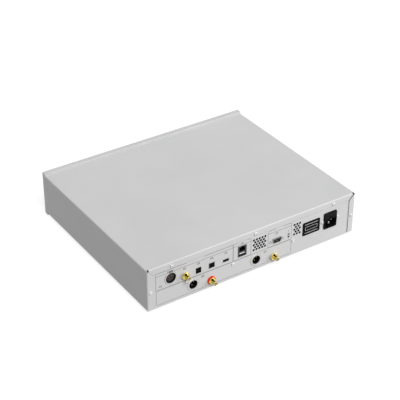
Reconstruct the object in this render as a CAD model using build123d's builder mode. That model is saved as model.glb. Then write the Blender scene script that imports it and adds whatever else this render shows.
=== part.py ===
from build123d import *
import math
import os

# Network music streamer: a full-width hi-fi case with its sockets on the rear wall.
# All lengths are millimetres. The front plate faces -Y, the rear wall faces +Y, +Z is up.
# The origin lies under the middle of the whole object, on the surface that it stands on.

# Driving sizes of the case
case_width = 432.0
case_height = 81.5
body_depth = 363.8  # front face of the fascia to the outer face of the rear lips
foot_height = 6.0  # gap between the shelf and the underside of the case
cover_sheet = 1.2
panel_sheet = 1.2
tray_sheet = 1.2
fascia_thickness = 10.5
fascia_rise = 3.5  # how far the fascia stands above the cover
fascia_drop = 2.5  # how far it hangs below the underside of the case
lip_width = 12.0
bend_radius = 2.2
lap_gap = 0.1  # between the side lips and the rear panel that they cover
fit_gap = 0.3  # between sheets and parts that slide into each other
button_proud = 1.5
rca_reach = 14.2  # tip of an RCA socket in front of the rear panel

# Places that follow from the driving sizes
cut_over = 1.0  # how far a cutting tool runs past the face it cuts
lap_step = cover_sheet + lap_gap
overall_depth = button_proud + body_depth + rca_reach - lap_step
half_width = case_width / 2
inner_half = half_width - cover_sheet
base_z = foot_height
top_z = base_z + case_height
lip_y = overall_depth / 2 - rca_reach + lap_step
wall_y = lip_y - lap_step
inside_y = wall_y - panel_sheet
face_y = lip_y - body_depth
seam_y = face_y + fascia_thickness
tray_z = base_z + cover_sheet  # underside of the tray
floor_z = tray_z + tray_sheet  # upper side of the tray

# Heights on the rear wall that the boards and the cover's top lip set
board_thickness = 1.6
audio_lift = 2.3  # audio board above the tray's floor
seat_gap = 0.3  # between a socket's body and its board
xlr_flange_low = 13.0  # XLR's flange behind the panel, below the axis
washer_radius = 7.0  # RCA socket's washer behind the panel
washer_gap = 0.7
lug_height = 15.6  # top of the latch's lug above the XLR's axis
lug_margin = 14.88  # from the case's top down to that lug
audio_top_z = floor_z + audio_lift + board_thickness
set_heights = {
    "xlr_input": top_z - lug_margin - lug_height,
    "xlr_right": audio_top_z + seat_gap + xlr_flange_low,
    "xlr_left": audio_top_z + seat_gap + xlr_flange_low,
    "rca_right": audio_top_z + washer_gap + washer_radius,
    "rca_left": audio_top_z + washer_gap + washer_radius,
}

# Other places on the rear wall: across as a share of its width, up as a share of its height
rear_place_shares = {
    "coax": (0.3310, 0.558),
    "optical": (0.2676, 0.542),
    "usb_b": (0.2062, 0.543),
    "usb_a": (0.1398, 0.528),
    "network": (0.0625, 0.606),
    "vent_left": (-0.0208, 0.632),
    "serial": (-0.1053, 0.548),
    "slide_switch": (-0.1648, 0.540),
    "vent_right": (-0.2068, 0.632),
    "data_plate": (-0.2790, 0.536),
    "mains": (-0.3757, 0.542),
    "panel_screw_a": (0.3218, 0.387),
    "panel_screw_b": (0.1065, 0.362),
    "panel_screw_c": (-0.1887, 0.362),
}


across_shares = {
    "xlr_input": 0.3940,
    "xlr_right": 0.2924,
    "rca_right": 0.2083,
    "xlr_left": -0.0060,
    "rca_left": -0.0905,
}


def place(name):
    """The point on the rear wall, in X and Z, that a socket or screw is centred on."""
    if name in set_heights:
        return across_shares[name] * case_width, set_heights[name]
    across_share, up_share = rear_place_shares[name]
    return across_share * case_width, base_z + up_share * case_height


def facing(y):
    """A sketch plane across the case at depth y, whose x and y are the case's X and Z.
    Extruding by a positive amount goes towards the front."""
    return Plane.XZ.offset(-y)


# Cover: top, sides and three rear lips folded from one sheet, with lips under the sides
# The side lips lap over the rear panel, the top lip lies in the rear panel's own plane.
seam_gap = 0.2
relief_radius = 1.75
relief_inset = 3.0
relief_drop = 1.2
relief_depth = 3.2
lip_hole_radius = 1.7
lip_foot_relief = 4.0
lip_bottom_z = top_z - lip_width
mitre_x = half_width - lip_width
side_screw_share = 0.45
side_screw_z = base_z + side_screw_share * case_height
side_screw_x = half_width - lip_width / 2
top_screw_drop_share = 0.6  # of the lip's width, down from the top
top_screw_z = top_z - top_screw_drop_share * lip_width
top_screw_share = 0.389
base_screw_x = half_width - lip_width / 2
lip_screw_places = [
    (-top_screw_share * case_width, top_screw_z, wall_y),
    (0, top_screw_z, wall_y),
    (top_screw_share * case_width, top_screw_z, wall_y),
    (-side_screw_x, side_screw_z, lip_y),
    (side_screw_x, side_screw_z, lip_y),
]
base_screw_shares = (-0.36, 0.0, 0.36)
cover_front_y = seam_y + seam_gap
middle_y = (cover_front_y + wall_y) / 2
base_screw_ys = [middle_y + share * (wall_y - cover_front_y) for share in base_screw_shares]
relief_x = half_width - relief_inset
relief_z = top_z - relief_drop
bend_ease = 0.05
bend_arc_radius = bend_radius + bend_ease  # a little full, so the bends end in a faint edge


def side_lip(inset):
    """Outline of the side lips' own area: side wall to mitre, drawn in by inset at the outside."""
    low = base_z + inset
    far = half_width - inset
    for side in (-1, 1):
        Polygon(
            (side * mitre_x, low),
            (side * far, low),
            (side * far, lip_bottom_z + far - mitre_x),
            (side * mitre_x, lip_bottom_z),
            align=None,
        )


with BuildPart() as cover:
    with BuildSketch(facing(wall_y)):
        with Locations((0, (base_z + top_z) / 2)):
            RectangleRounded(case_width, case_height, bend_radius)
    extrude(amount=wall_y - cover_front_y)
    with BuildSketch(facing(lip_y)):
        with Locations((0, (base_z + top_z) / 2)):
            RectangleRounded(case_width, case_height, bend_radius)
        with BuildSketch(facing(0), mode=Mode.PRIVATE) as lip_area:
            side_lip(0)
        add(lip_area.sketch_local, mode=Mode.INTERSECT)
    extrude(amount=lap_step + cover_sheet)
    # outside of the bend between the top and its rear lip
    with BuildSketch(Plane.YZ.offset(-relief_x)):
        with Locations((wall_y, top_z)):
            Rectangle(2 * bend_radius, 2 * bend_radius)
        with Locations((wall_y - bend_radius, top_z - bend_radius)):
            Circle(bend_arc_radius, mode=Mode.SUBTRACT)
    extrude(amount=2 * relief_x, mode=Mode.SUBTRACT)
    # outside of the bends between the sides and their rear lips
    with BuildSketch(Plane.XY.offset(base_z - cut_over)):
        with Locations((-half_width, lip_y), (half_width, lip_y)):
            Rectangle(2 * bend_radius, 2 * bend_radius)
        for side in (-1, 1):
            with Locations((side * (half_width - bend_radius), lip_y - bend_radius)):
                Circle(bend_arc_radius, mode=Mode.SUBTRACT)
    extrude(amount=case_height + 2 * cut_over, mode=Mode.SUBTRACT)
    # hollow inside, up to the rear lips
    with BuildSketch(facing(wall_y - cover_sheet)):
        with Locations((0, (base_z + top_z) / 2)):
            RectangleRounded(
                2 * inner_half, case_height - 2 * cover_sheet, bend_radius - cover_sheet
            )
    extrude(amount=body_depth, mode=Mode.SUBTRACT)
    with BuildSketch(facing(lip_y - cover_sheet)):
        side_lip(cover_sheet)
    extrude(amount=lap_step + cut_over, mode=Mode.SUBTRACT)
    # rear opening that the panel closes
    with BuildSketch(facing(wall_y + lap_gap)):
        with Locations((0, (base_z + lip_bottom_z) / 2 - cut_over / 2)):
            Rectangle(2 * inner_half, lip_bottom_z - base_z + cut_over)
    extrude(amount=cover_sheet + lap_gap + cut_over, mode=Mode.SUBTRACT)
    # the underside stays open between the two bottom lips
    with BuildSketch(Plane.XY.offset(base_z - cut_over)):
        with Locations((0, (cover_front_y + wall_y) / 2)):
            Rectangle(2 * mitre_x, body_depth)
        with Locations((0, wall_y)):
            Rectangle(2 * inner_half, 2 * lip_foot_relief)
    extrude(amount=cover_sheet + cut_over, mode=Mode.SUBTRACT)
    with BuildSketch(facing(lip_y + cut_over)):
        for side in (-1, 1):
            with Locations((side * relief_x, relief_z)):
                Circle(relief_radius)
    extrude(amount=relief_depth + lap_step + cut_over, mode=Mode.SUBTRACT)
    with BuildSketch(facing(lip_y + cut_over)):
        for x, z, _ in lip_screw_places:
            with Locations((x, z)):
                Circle(lip_hole_radius)
    extrude(amount=lap_step + cover_sheet + 2 * cut_over, mode=Mode.SUBTRACT)
    with BuildSketch(Plane.XY.offset(base_z - cut_over)):
        for y in base_screw_ys:
            with Locations((-base_screw_x, y), (base_screw_x, y)):
                Circle(lip_hole_radius)
    extrude(amount=cover_sheet + 2 * cut_over, mode=Mode.SUBTRACT)

# Outlines of the sockets, shared by each socket and by its cut-out in the rear panel
cutout_gap = 0.15
xlr_radius = 12.0
lug_width = 11.0
xlr_flange_width = 27.0
xlr_flange_margin = 1.0
xlr_flange_high = lug_height + xlr_flange_margin
rca_neck_radius = 5.6
optical_width = 10.4
optical_height = 10.8
usb_b_width = 12.4
usb_b_height = 11.3
usb_a_width = 13.0
usb_a_height = 6.0
network_width = 18.0
network_height = 21.5
serial_width = 17.6
serial_height = 8.6
serial_slant = 1.5
switch_slot_width = 3.4
switch_slot_height = 8.4
mains_width = 28.5
mains_height = 32.7
mains_corner = 3.0
vent_radius = 2.05
vent_pitch_x = 6.0
vent_pitch_z = 4.95
vent_left_columns = 5
vent_right_columns = 3
vent_rows = 5


def xlr_lug_outline(gap):
    """The female XLR's face: a round shell with a square lug above it for the latch."""
    Circle(xlr_radius + gap)
    with Locations((0, lug_height / 2)):
        Rectangle(lug_width + 2 * gap, lug_height + 2 * gap)


def d_outline(width, height, slant):
    """The serial port's D shape, wide side up."""
    Polygon(
        (-width / 2, height / 2),
        (width / 2, height / 2),
        (width / 2 - slant, -height / 2),
        (-width / 2 + slant, -height / 2),
        align=None,
    )


def vent_places(name, columns):
    """Hole centres in staggered rows: odd rows have one hole less and sit half a pitch in."""
    centre_x, centre_z = place(name)
    places = []
    for row in range(vent_rows):
        count = columns - row % 2
        z = centre_z + (row - (vent_rows - 1) / 2) * vent_pitch_z
        for column in range(count):
            places.append((centre_x + (column - (count - 1) / 2) * vent_pitch_x, z))
    return places


# Rear panel: flat sheet behind the side lips, with a flange folded forward under the tray
flange_reach = 14.0
flange_side_gap = 1.0
panel_top_z = lip_bottom_z - seam_gap
panel_half = inner_half - fit_gap
flange_half = mitre_x - flange_side_gap
flange_screw_inset = 8.0
flange_screw_shares = (-0.32, 0.0, 0.32)
flange_screw_xs = [share * case_width for share in flange_screw_shares]
round_cutouts = {
    "coax": rca_neck_radius,
    "rca_right": rca_neck_radius,
    "rca_left": rca_neck_radius,
    "xlr_right": xlr_radius,
    "xlr_left": xlr_radius,
}
square_cutouts = {
    "optical": (optical_width, optical_height),
    "usb_b": (usb_b_width, usb_b_height),
    "usb_a": (usb_a_width, usb_a_height),
    "network": (network_width, network_height),
    "slide_switch": (switch_slot_width, switch_slot_height),
}
screw_shank_radius = 1.5
jackpost_pitch = 25.0
jackpost_stem_radius = 1.5
inlet_screw_pitch = 35.0

with BuildPart() as rear_panel:
    with BuildSketch(facing(wall_y)):
        with Locations((0, (base_z + panel_top_z) / 2)):
            Rectangle(2 * panel_half, panel_top_z - base_z)
        # lower corners cleared for the cover's bottom lips
        with Locations((-panel_half, base_z), (panel_half, base_z)):
            Rectangle(2 * (panel_half - flange_half), 2 * cover_sheet, mode=Mode.SUBTRACT)
    extrude(amount=panel_sheet)
    with BuildSketch(Plane.XY.offset(base_z)):
        with Locations((0, wall_y - flange_reach / 2)):
            Rectangle(2 * flange_half, flange_reach)
    extrude(amount=cover_sheet)
    for name, radius in round_cutouts.items():
        with BuildSketch(facing(wall_y + cut_over)):
            with Locations(place(name)):
                Circle(radius + cutout_gap)
        extrude(amount=panel_sheet + 2 * cut_over, mode=Mode.SUBTRACT)
    for name, size in square_cutouts.items():
        with BuildSketch(facing(wall_y + cut_over)):
            with Locations(place(name)):
                Rectangle(size[0] + 2 * cutout_gap, size[1] + 2 * cutout_gap)
        extrude(amount=panel_sheet + 2 * cut_over, mode=Mode.SUBTRACT)
    with BuildSketch(facing(wall_y + cut_over)):
        with Locations(place("xlr_input")):
            xlr_lug_outline(cutout_gap)
    extrude(amount=panel_sheet + 2 * cut_over, mode=Mode.SUBTRACT)
    with BuildSketch(facing(wall_y + cut_over)):
        with Locations(place("serial")):
            d_outline(serial_width + 2 * cutout_gap, serial_height + 2 * cutout_gap, serial_slant)
        with Locations(place("mains")):
            RectangleRounded(
                mains_width + 2 * cutout_gap, mains_height + 2 * cutout_gap, mains_corner
            )
    extrude(amount=panel_sheet + 2 * cut_over, mode=Mode.SUBTRACT)
    with BuildSketch(facing(wall_y + cut_over)):
        with Locations(vent_places("vent_left", vent_left_columns)):
            Circle(vent_radius)
        with Locations(vent_places("vent_right", vent_right_columns)):
            Circle(vent_radius)
    extrude(amount=panel_sheet + 2 * cut_over, mode=Mode.SUBTRACT)
    with BuildSketch(facing(wall_y + cut_over)):
        for name in ("panel_screw_a", "panel_screw_b", "panel_screw_c"):
            with Locations(place(name)):
                Circle(screw_shank_radius)
        with Locations(place("serial")):
            with GridLocations(jackpost_pitch, 0, 2, 1):
                Circle(jackpost_stem_radius)
        with Locations(place("mains")):
            with GridLocations(inlet_screw_pitch, 0, 2, 1):
                Circle(screw_shank_radius)
        with Locations((-side_screw_x, side_screw_z), (side_screw_x, side_screw_z)):
            Circle(screw_shank_radius)
    extrude(amount=panel_sheet + 2 * cut_over, mode=Mode.SUBTRACT)
    with BuildSketch(Plane.XY.offset(base_z - cut_over)):
        for x in flange_screw_xs:
            with Locations((x, wall_y - flange_screw_inset)):
                Circle(screw_shank_radius)
    extrude(amount=cover_sheet + 2 * cut_over, mode=Mode.SUBTRACT)

# Base tray: flat plate with three upturned edges and rows of vent slots
tray_half = inner_half - bend_radius + cover_sheet
tray_edge_height = 10.0
tray_rear_y = inside_y - lap_gap
slot_length = 36.0
slot_width = 3.0
slot_pitch_x = 8.0
slot_count = 12
slot_bank_shares = (-0.27, 0.27)
foot_x_share = 0.382
foot_rear_inset = 45.0
foot_front_inset = 55.0
foot_ys = (face_y + foot_front_inset, wall_y - foot_rear_inset)
foot_x = foot_x_share * case_width
tray_front_y = seam_y + panel_sheet

with BuildPart() as base_tray:
    with BuildSketch(Plane.XY.offset(tray_z)):
        with Locations((0, (tray_front_y + tray_rear_y) / 2)):
            Rectangle(2 * tray_half, tray_rear_y - tray_front_y)
    extrude(amount=tray_sheet)
    with BuildSketch(Plane.XY.offset(floor_z)):
        for side in (-1, 1):
            with Locations((side * (tray_half - tray_sheet / 2), (tray_front_y + tray_rear_y) / 2)):
                Rectangle(tray_sheet, tray_rear_y - tray_front_y)
    extrude(amount=tray_edge_height)
    with BuildSketch(Plane.XY.offset(tray_z - cut_over)):
        for share in slot_bank_shares:
            with Locations((share * case_width, 0)):
                with GridLocations(slot_pitch_x, 0, slot_count, 1):
                    SlotOverall(slot_length, slot_width, rotation=90)
    extrude(amount=tray_sheet + 2 * cut_over, mode=Mode.SUBTRACT)
    with BuildSketch(Plane.XY.offset(tray_z - cut_over)):
        for y in base_screw_ys:
            with Locations((-base_screw_x, y), (base_screw_x, y)):
                Circle(screw_shank_radius)
        for x in flange_screw_xs:
            with Locations((x, wall_y - flange_screw_inset), (x, seam_y + flange_screw_inset)):
                Circle(screw_shank_radius)
        for y in foot_ys:
            with Locations((-foot_x, y), (foot_x, y)):
                Circle(screw_shank_radius)
    extrude(amount=tray_sheet + 2 * cut_over, mode=Mode.SUBTRACT)

# Rear rail: angle behind the top lip, with tabs welded to the inside of the rear panel
rail_sheet = 1.5
rail_leg = 11.0
rail_end_gap = 6.0
rail_tab_width = 8.0
rail_tab_drop = 6.5
rail_tab_shares = (-0.49, -0.29, 0.10, 0.49)
rail_top_z = top_z - cover_sheet
rail_lap = 1.2  # of the rail's leg over the rear panel
rail_low_z = lip_bottom_z - rail_lap
rail_half = mitre_x - rail_end_gap

with BuildPart() as rear_rail:
    with BuildSketch(facing(inside_y)):
        with Locations((0, (rail_low_z + rail_top_z) / 2)):
            Rectangle(2 * rail_half, rail_top_z - rail_low_z)
        for share in rail_tab_shares:
            with Locations((share * 2 * rail_half, rail_low_z - rail_tab_drop / 2)):
                Rectangle(rail_tab_width, rail_tab_drop)
    extrude(amount=rail_sheet)
    with BuildSketch(Plane.XY.offset(rail_top_z)):
        with Locations((0, inside_y - rail_leg / 2)):
            Rectangle(2 * rail_half, rail_leg)
    extrude(amount=-rail_sheet)
    with BuildSketch(facing(inside_y + cut_over)):
        with Locations(place("xlr_input")):
            Rectangle(xlr_flange_width + 2 * fit_gap, 2 * (xlr_flange_high + fit_gap))
        for x, z, _ in lip_screw_places[:3]:
            with Locations((x, z)):
                Circle(screw_shank_radius)
    extrude(amount=rail_sheet + 2 * cut_over, mode=Mode.SUBTRACT)

# Front layout: across as a share of the case's width, all on one level
front_level = base_z + case_height / 2
display_width = 128.0
display_height = 40.0
display_margin = 3.0
display_corner = 2.0
window_thickness = 2.0
button_radius = 6.0
power_radius = 9.0
button_gap = 0.15
front_wall = 4.0  # what is left of the fascia in front of the buttons' flanges
flange_step = 1.6
button_travel = 0.8
power_share = -0.405
lens_share = -0.335
button_shares = {
    "menu_button": 0.240,
    "back_button": 0.295,
    "previous_button": 0.350,
    "next_button": 0.405,
}
lens_radius = 4.5
lens_flange = 1.5
fascia_screw_share = 0.455
fascia_screw_inset = 14.0
fascia_screw_depth = 6.0
fascia_bottom_z = base_z - fascia_drop
fascia_top_z = top_z + fascia_rise
fascia_edge = 0.8
fascia_screw_places = [
    (side * fascia_screw_share * case_width, z)
    for side in (-1, 1)
    for z in (base_z + fascia_screw_inset, top_z - fascia_screw_inset)
]
buttons = {"power_button": (power_share * case_width, power_radius)}
for button_name, share in button_shares.items():
    buttons[button_name] = (share * case_width, button_radius)

with BuildPart() as fascia:
    with BuildSketch(facing(seam_y)):
        with Locations((0, (fascia_bottom_z + fascia_top_z) / 2)):
            Rectangle(case_width, fascia_top_z - fascia_bottom_z)
    extrude(amount=fascia_thickness)
    chamfer(fascia.faces().sort_by(Axis.Y)[0].edges(), fascia_edge)
    with BuildSketch(facing(face_y + window_thickness)):
        with Locations((0, front_level)):
            RectangleRounded(display_width, display_height, display_corner)
    extrude(amount=window_thickness + cut_over, mode=Mode.SUBTRACT)
    with BuildSketch(facing(seam_y + cut_over)):
        with Locations((0, front_level)):
            Rectangle(display_width - 2 * display_margin, display_height - 2 * display_margin)
        for x, radius in buttons.values():
            with Locations((x, front_level)):
                Circle(radius + button_gap)
        with Locations((lens_share * case_width, front_level)):
            Circle(lens_radius)
    extrude(amount=fascia_thickness + 2 * cut_over, mode=Mode.SUBTRACT)
    with BuildSketch(facing(seam_y + cut_over)):
        for x, radius in buttons.values():
            with Locations((x, front_level)):
                Circle(radius + flange_step + 2 * button_gap)
        with Locations((lens_share * case_width, front_level)):
            Circle(lens_radius + lens_flange)
    extrude(amount=fascia_thickness - front_wall + cut_over, mode=Mode.SUBTRACT)
    with BuildSketch(facing(seam_y + cut_over)):
        with Locations(fascia_screw_places):
            Circle(screw_shank_radius)
    extrude(amount=fascia_screw_depth + cut_over, mode=Mode.SUBTRACT)

# Front sub-panel: sheet behind the fascia, with a foot flange, studs and openings
board_gap = 5.0
stud_radius = 3.0
stud_shares = ((-0.43, 0.82), (-0.43, 0.18), (0.43, 0.82), (0.43, 0.18))
stem_radius = 2.0
stem_gap = 0.6
sub_panel_bottom_z = base_z
sub_panel_top_z = top_z - cover_sheet - fit_gap
sub_panel_back_y = seam_y + panel_sheet
stud_places = [(x * case_width, base_z + z * case_height) for x, z in stud_shares]

with BuildPart() as front_subpanel:
    with BuildSketch(facing(sub_panel_back_y)):
        with Locations((0, (floor_z + sub_panel_top_z) / 2)):
            Rectangle(2 * panel_half, sub_panel_top_z - floor_z)
        with Locations((0, (sub_panel_bottom_z + floor_z) / 2)):
            Rectangle(2 * flange_half, floor_z - sub_panel_bottom_z)
    extrude(amount=panel_sheet)
    with BuildSketch(Plane.XY.offset(base_z)):
        with Locations((0, seam_y + flange_reach / 2)):
            Rectangle(2 * flange_half, flange_reach)
    extrude(amount=cover_sheet)
    with BuildSketch(facing(sub_panel_back_y + board_gap)):
        with Locations(stud_places):
            Circle(stud_radius)
    extrude(amount=board_gap)
    with BuildSketch(facing(sub_panel_back_y + cut_over)):
        with Locations((0, front_level)):
            Rectangle(display_width - 2 * display_margin, display_height - 2 * display_margin)
        for x, radius in buttons.values():
            with Locations((x, front_level)):
                Circle(stem_radius + stem_gap)
        with Locations(fascia_screw_places):
            Circle(lip_hole_radius)
    extrude(amount=panel_sheet + 2 * cut_over, mode=Mode.SUBTRACT)
    with BuildSketch(Plane.XY.offset(base_z - cut_over)):
        for x in flange_screw_xs:
            with Locations((x, seam_y + flange_screw_inset)):
                Circle(screw_shank_radius)
    extrude(amount=cover_sheet + 2 * cut_over, mode=Mode.SUBTRACT)

# Display window: clear sheet let into the front of the fascia
window_gap = 0.1
with BuildPart() as display_window:
    with BuildSketch(facing(face_y + window_thickness)):
        with Locations((0, front_level)):
            RectangleRounded(
                display_width - 2 * window_gap, display_height - 2 * window_gap, display_corner
            )
    extrude(amount=window_thickness)

# Display module: glass panel and frame between the window and the control board
module_gap = 0.5
module_lead = 2.5  # behind the window
module_bezel = 3.0
module_recess = 0.6
board_front_y = sub_panel_back_y + board_gap
module_width = display_width - 2 * display_margin - 2 * module_gap
module_height = display_height - 2 * display_margin - 2 * module_gap
module_front_y = face_y + window_thickness + module_lead

with BuildPart() as display_module:
    with BuildSketch(facing(board_front_y)):
        with Locations((0, front_level)):
            Rectangle(module_width, module_height)
    extrude(amount=board_front_y - module_front_y)
    with BuildSketch(facing(module_front_y + module_recess)):
        with Locations((0, front_level)):
            Rectangle(module_width - 2 * module_bezel, module_height - 2 * module_bezel)
    extrude(amount=module_recess + cut_over, mode=Mode.SUBTRACT)

# Control board: long circuit board on the studs, with a switch soldered behind each button
control_end_gap = 14.0
control_half = half_width - control_end_gap
control_height_share = 0.74
switch_size = 6.0
switch_height = 3.5
plunger_radius = 1.7
plunger_height = 0.8
connector_width = 34.0
connector_height = 7.0
connector_depth = 6.0
ribbon_x_share = 0.11
ribbon_x = ribbon_x_share * case_width
board_rear_y = board_front_y + board_thickness
plunger_tip_y = board_front_y - switch_height - plunger_height

with BuildPart() as control_board:
    with BuildSketch(facing(board_rear_y)):
        with Locations((0, front_level)):
            Rectangle(2 * control_half, control_height_share * case_height)
    extrude(amount=board_thickness)
    for x, radius in buttons.values():
        with BuildSketch(facing(board_front_y)):
            with Locations((x, front_level)):
                Rectangle(switch_size, switch_size)
        extrude(amount=switch_height)
        with BuildSketch(facing(board_front_y - switch_height)):
            with Locations((x, front_level)):
                Circle(plunger_radius)
        extrude(amount=plunger_height)
    with BuildSketch(facing(board_rear_y + connector_depth)):
        with Locations((ribbon_x, front_level)):
            Rectangle(connector_width, connector_height)
    extrude(amount=connector_depth)

# Buttons: turned aluminium caps with a flange inside the fascia and a stem to the switch
flange_thickness = 1.5
flange_seat_gap = 0.05
button_edge = 0.5
stem_end_y = plunger_tip_y - button_travel - window_gap
flange_front_y = face_y + front_wall + flange_seat_gap
button_parts = {}
for button_name, (x, radius) in buttons.items():
    with BuildPart() as button:
        with BuildSketch(facing(flange_front_y)):
            with Locations((x, front_level)):
                Circle(radius)
        extrude(amount=flange_front_y - face_y + button_proud)
        chamfer(button.faces().sort_by(Axis.Y)[0].edges(), button_edge)
        with BuildSketch(facing(flange_front_y + flange_thickness)):
            with Locations((x, front_level)):
                Circle(radius + flange_step)
        extrude(amount=flange_thickness)
        with BuildSketch(facing(stem_end_y)):
            with Locations((x, front_level)):
                Circle(stem_radius)
        extrude(amount=stem_end_y - flange_front_y)
    button_parts[button_name] = button

# Infrared window: dark plastic lens held in the fascia by its flange
with BuildPart() as infrared_window:
    with BuildSketch(facing(face_y + front_wall)):
        with Locations((lens_share * case_width, front_level)):
            Circle(lens_radius - window_gap)
    extrude(amount=front_wall)
    with BuildSketch(facing(seam_y)):
        with Locations((lens_share * case_width, front_level)):
            Circle(lens_radius + lens_flange - window_gap)
    extrude(amount=fascia_thickness - front_wall)

# Screws: pan heads with a cross recess and a plain shank
head_radius = 2.8
head_height = 2.0
head_dome = 0.7
recess_length = 3.2
recess_width = 0.8
recess_depth = 1.0
shank_clear = 0.05
rear_shank = 6.0


def pan_head_screw(origin, inward, shank):
    """A pan head screw seated at origin, with its shank pointing along inward."""
    seat = Plane(origin=origin, z_dir=inward)
    with BuildPart(mode=Mode.PRIVATE) as screw:
        with BuildSketch(seat):
            Circle(head_radius)
        extrude(amount=-head_height)
        fillet(screw.edges().sort_by(Axis(origin, inward))[0], head_dome)
        with BuildSketch(seat):
            Circle(screw_shank_radius - shank_clear)
        extrude(amount=shank)
        with BuildSketch(seat.offset(-head_height)):
            Rectangle(recess_length, recess_width)
            Rectangle(recess_width, recess_length)
        extrude(amount=recess_depth, mode=Mode.SUBTRACT)
    return screw.part


# Rear screws: five through the cover's lips, three through the rear panel
with BuildPart() as rear_screws:
    for x, z, y in lip_screw_places:
        add(pan_head_screw((x, y, z), (0, -1, 0), rear_shank))
    for name in ("panel_screw_a", "panel_screw_b", "panel_screw_c"):
        x, z = place(name)
        add(pan_head_screw((x, wall_y, z), (0, -1, 0), rear_shank))

# Feet: moulded discs under the tray, each with a ring of rubber and a sunk screw
foot_radius = 20.0
foot_edge = 1.0
pad_radius = 17.0
pad_hole_radius = 7.0
pad_thickness = 2.0
pad_seat = 0.8
foot_bore_radius = 4.5
foot_web = 2.5
foot_bottom_z = pad_thickness - pad_seat
foot_seat_z = tray_z - foot_web
foot_places = [(side * foot_x, y) for side in (-1, 1) for y in foot_ys]

with BuildPart() as feet:
    with BuildSketch(Plane.XY.offset(foot_bottom_z)):
        with Locations(foot_places):
            Circle(foot_radius)
    extrude(amount=tray_z - foot_bottom_z)
    chamfer(feet.faces().group_by(Axis.Z)[0].edges(), foot_edge)
    with BuildSketch(Plane.XY.offset(foot_bottom_z)):
        with Locations(foot_places):
            Circle(pad_radius + window_gap)
    extrude(amount=pad_seat, mode=Mode.SUBTRACT)
    with BuildSketch(Plane.XY.offset(foot_bottom_z)):
        with Locations(foot_places):
            Circle(foot_bore_radius)
    extrude(amount=foot_seat_z - foot_bottom_z, mode=Mode.SUBTRACT)
    with BuildSketch(Plane.XY.offset(foot_bottom_z)):
        with Locations(foot_places):
            Circle(screw_shank_radius)
    extrude(amount=tray_z - foot_bottom_z, mode=Mode.SUBTRACT)

with BuildPart() as foot_pads:
    with BuildSketch():
        with Locations(foot_places):
            Circle(pad_radius)
            Circle(pad_hole_radius, mode=Mode.SUBTRACT)
    extrude(amount=pad_thickness)

# Base screws: under the cover's bottom lips, under both folded flanges and in the feet
base_shank = 4.0
with BuildPart() as base_screws:
    for y in base_screw_ys:
        for x in (-base_screw_x, base_screw_x):
            add(pan_head_screw((x, y, base_z), (0, 0, 1), base_shank))
    for x in flange_screw_xs:
        for y in (seam_y + flange_screw_inset, wall_y - flange_screw_inset):
            add(pan_head_screw((x, y, base_z), (0, 0, 1), base_shank))
    for x, y in foot_places:
        add(pan_head_screw((x, y, foot_seat_z), (0, 0, 1), base_shank))

# Fascia screws: through the sub-panel into blind holes in the fascia
with BuildPart() as fascia_screws:
    for x, z in fascia_screw_places:
        screw_reach = panel_sheet + fascia_screw_depth - fit_gap
        add(pan_head_screw((x, sub_panel_back_y, z), (0, -1, 0), screw_reach))

# Female XLR input: die-cast shell, moulded insert, three contacts and a sprung latch
xlr_bezel = 1.0
xlr_bore_radius = 9.75
xlr_bore_depth = 21.0
xlr_body_depth = 24.0
xlr_flange_depth = 2.0
xlr_edge = 0.4
core_radius = 7.9
contact_circle = 4.0
contact_angles = (30, 150, 270)
contact_radius = 1.55
contact_bore_radius = 1.15
core_sink = 2.4  # core's face behind the shell's
contact_sink = 2.8
latch_width = 7.0
latch_height = 3.0
latch_rise = 13.3  # latch above the XLR's axis
latch_proud = 2.6
latch_length = 18.0
latch_travel = 1.2
slide_gap = 0.15
xlr_x, xlr_z = place("xlr_input")
xlr_front_y = wall_y + xlr_bezel
contact_places = [
    (xlr_x + contact_circle * math.cos(math.radians(a)),
     xlr_z + contact_circle * math.sin(math.radians(a)))
    for a in contact_angles
]

with BuildPart() as xlr_input_shell:
    with BuildSketch(facing(xlr_front_y)):
        with Locations((xlr_x, xlr_z)):
            xlr_lug_outline(0)
    extrude(amount=xlr_bezel + panel_sheet)
    chamfer(xlr_input_shell.faces().sort_by(Axis.Y)[-1].edges(), xlr_edge)
    with BuildSketch(facing(inside_y)):
        with Locations((xlr_x, xlr_z + (xlr_flange_high - xlr_flange_low) / 2)):
            Rectangle(xlr_flange_width, xlr_flange_high + xlr_flange_low)
    extrude(amount=xlr_flange_depth)
    with BuildSketch(facing(inside_y)):
        with Locations((xlr_x, xlr_z)):
            Circle(xlr_radius)
    extrude(amount=xlr_body_depth)
    with BuildSketch(facing(xlr_front_y)):
        with Locations((xlr_x, xlr_z)):
            Circle(xlr_bore_radius)
    extrude(amount=xlr_bore_depth, mode=Mode.SUBTRACT)
    with BuildSketch(facing(xlr_front_y + cut_over)):
        with Locations((xlr_x, xlr_z + latch_rise)):
            Rectangle(latch_width + 2 * slide_gap, latch_height + 2 * slide_gap)
    extrude(amount=xlr_body_depth + xlr_flange_depth + 2 * cut_over, mode=Mode.SUBTRACT)

with BuildPart() as xlr_input_insert:
    with BuildSketch(facing(xlr_front_y - xlr_bore_depth)):
        with Locations((xlr_x, xlr_z)):
            Circle(core_radius)
    extrude(amount=-(xlr_bore_depth - core_sink))
    with BuildSketch(facing(xlr_front_y)):
        with Locations(contact_places):
            Circle(contact_radius + window_gap / 2)
    extrude(amount=xlr_bore_depth - contact_sink, mode=Mode.SUBTRACT)

with BuildPart() as xlr_input_contacts:
    with BuildSketch(facing(xlr_front_y - contact_sink)):
        with Locations(contact_places):
            Circle(contact_radius)
            Circle(contact_bore_radius, mode=Mode.SUBTRACT)
    extrude(amount=xlr_bore_depth - 2 * contact_sink)

with BuildPart() as xlr_latch:
    with BuildSketch(facing(xlr_front_y + latch_proud - xlr_bezel)):
        with Locations((xlr_x, xlr_z + latch_rise)):
            Rectangle(latch_width, latch_height)
    extrude(amount=latch_length)
    chamfer(xlr_latch.faces().sort_by(Axis.Y)[-1].edges(), xlr_edge)

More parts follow.
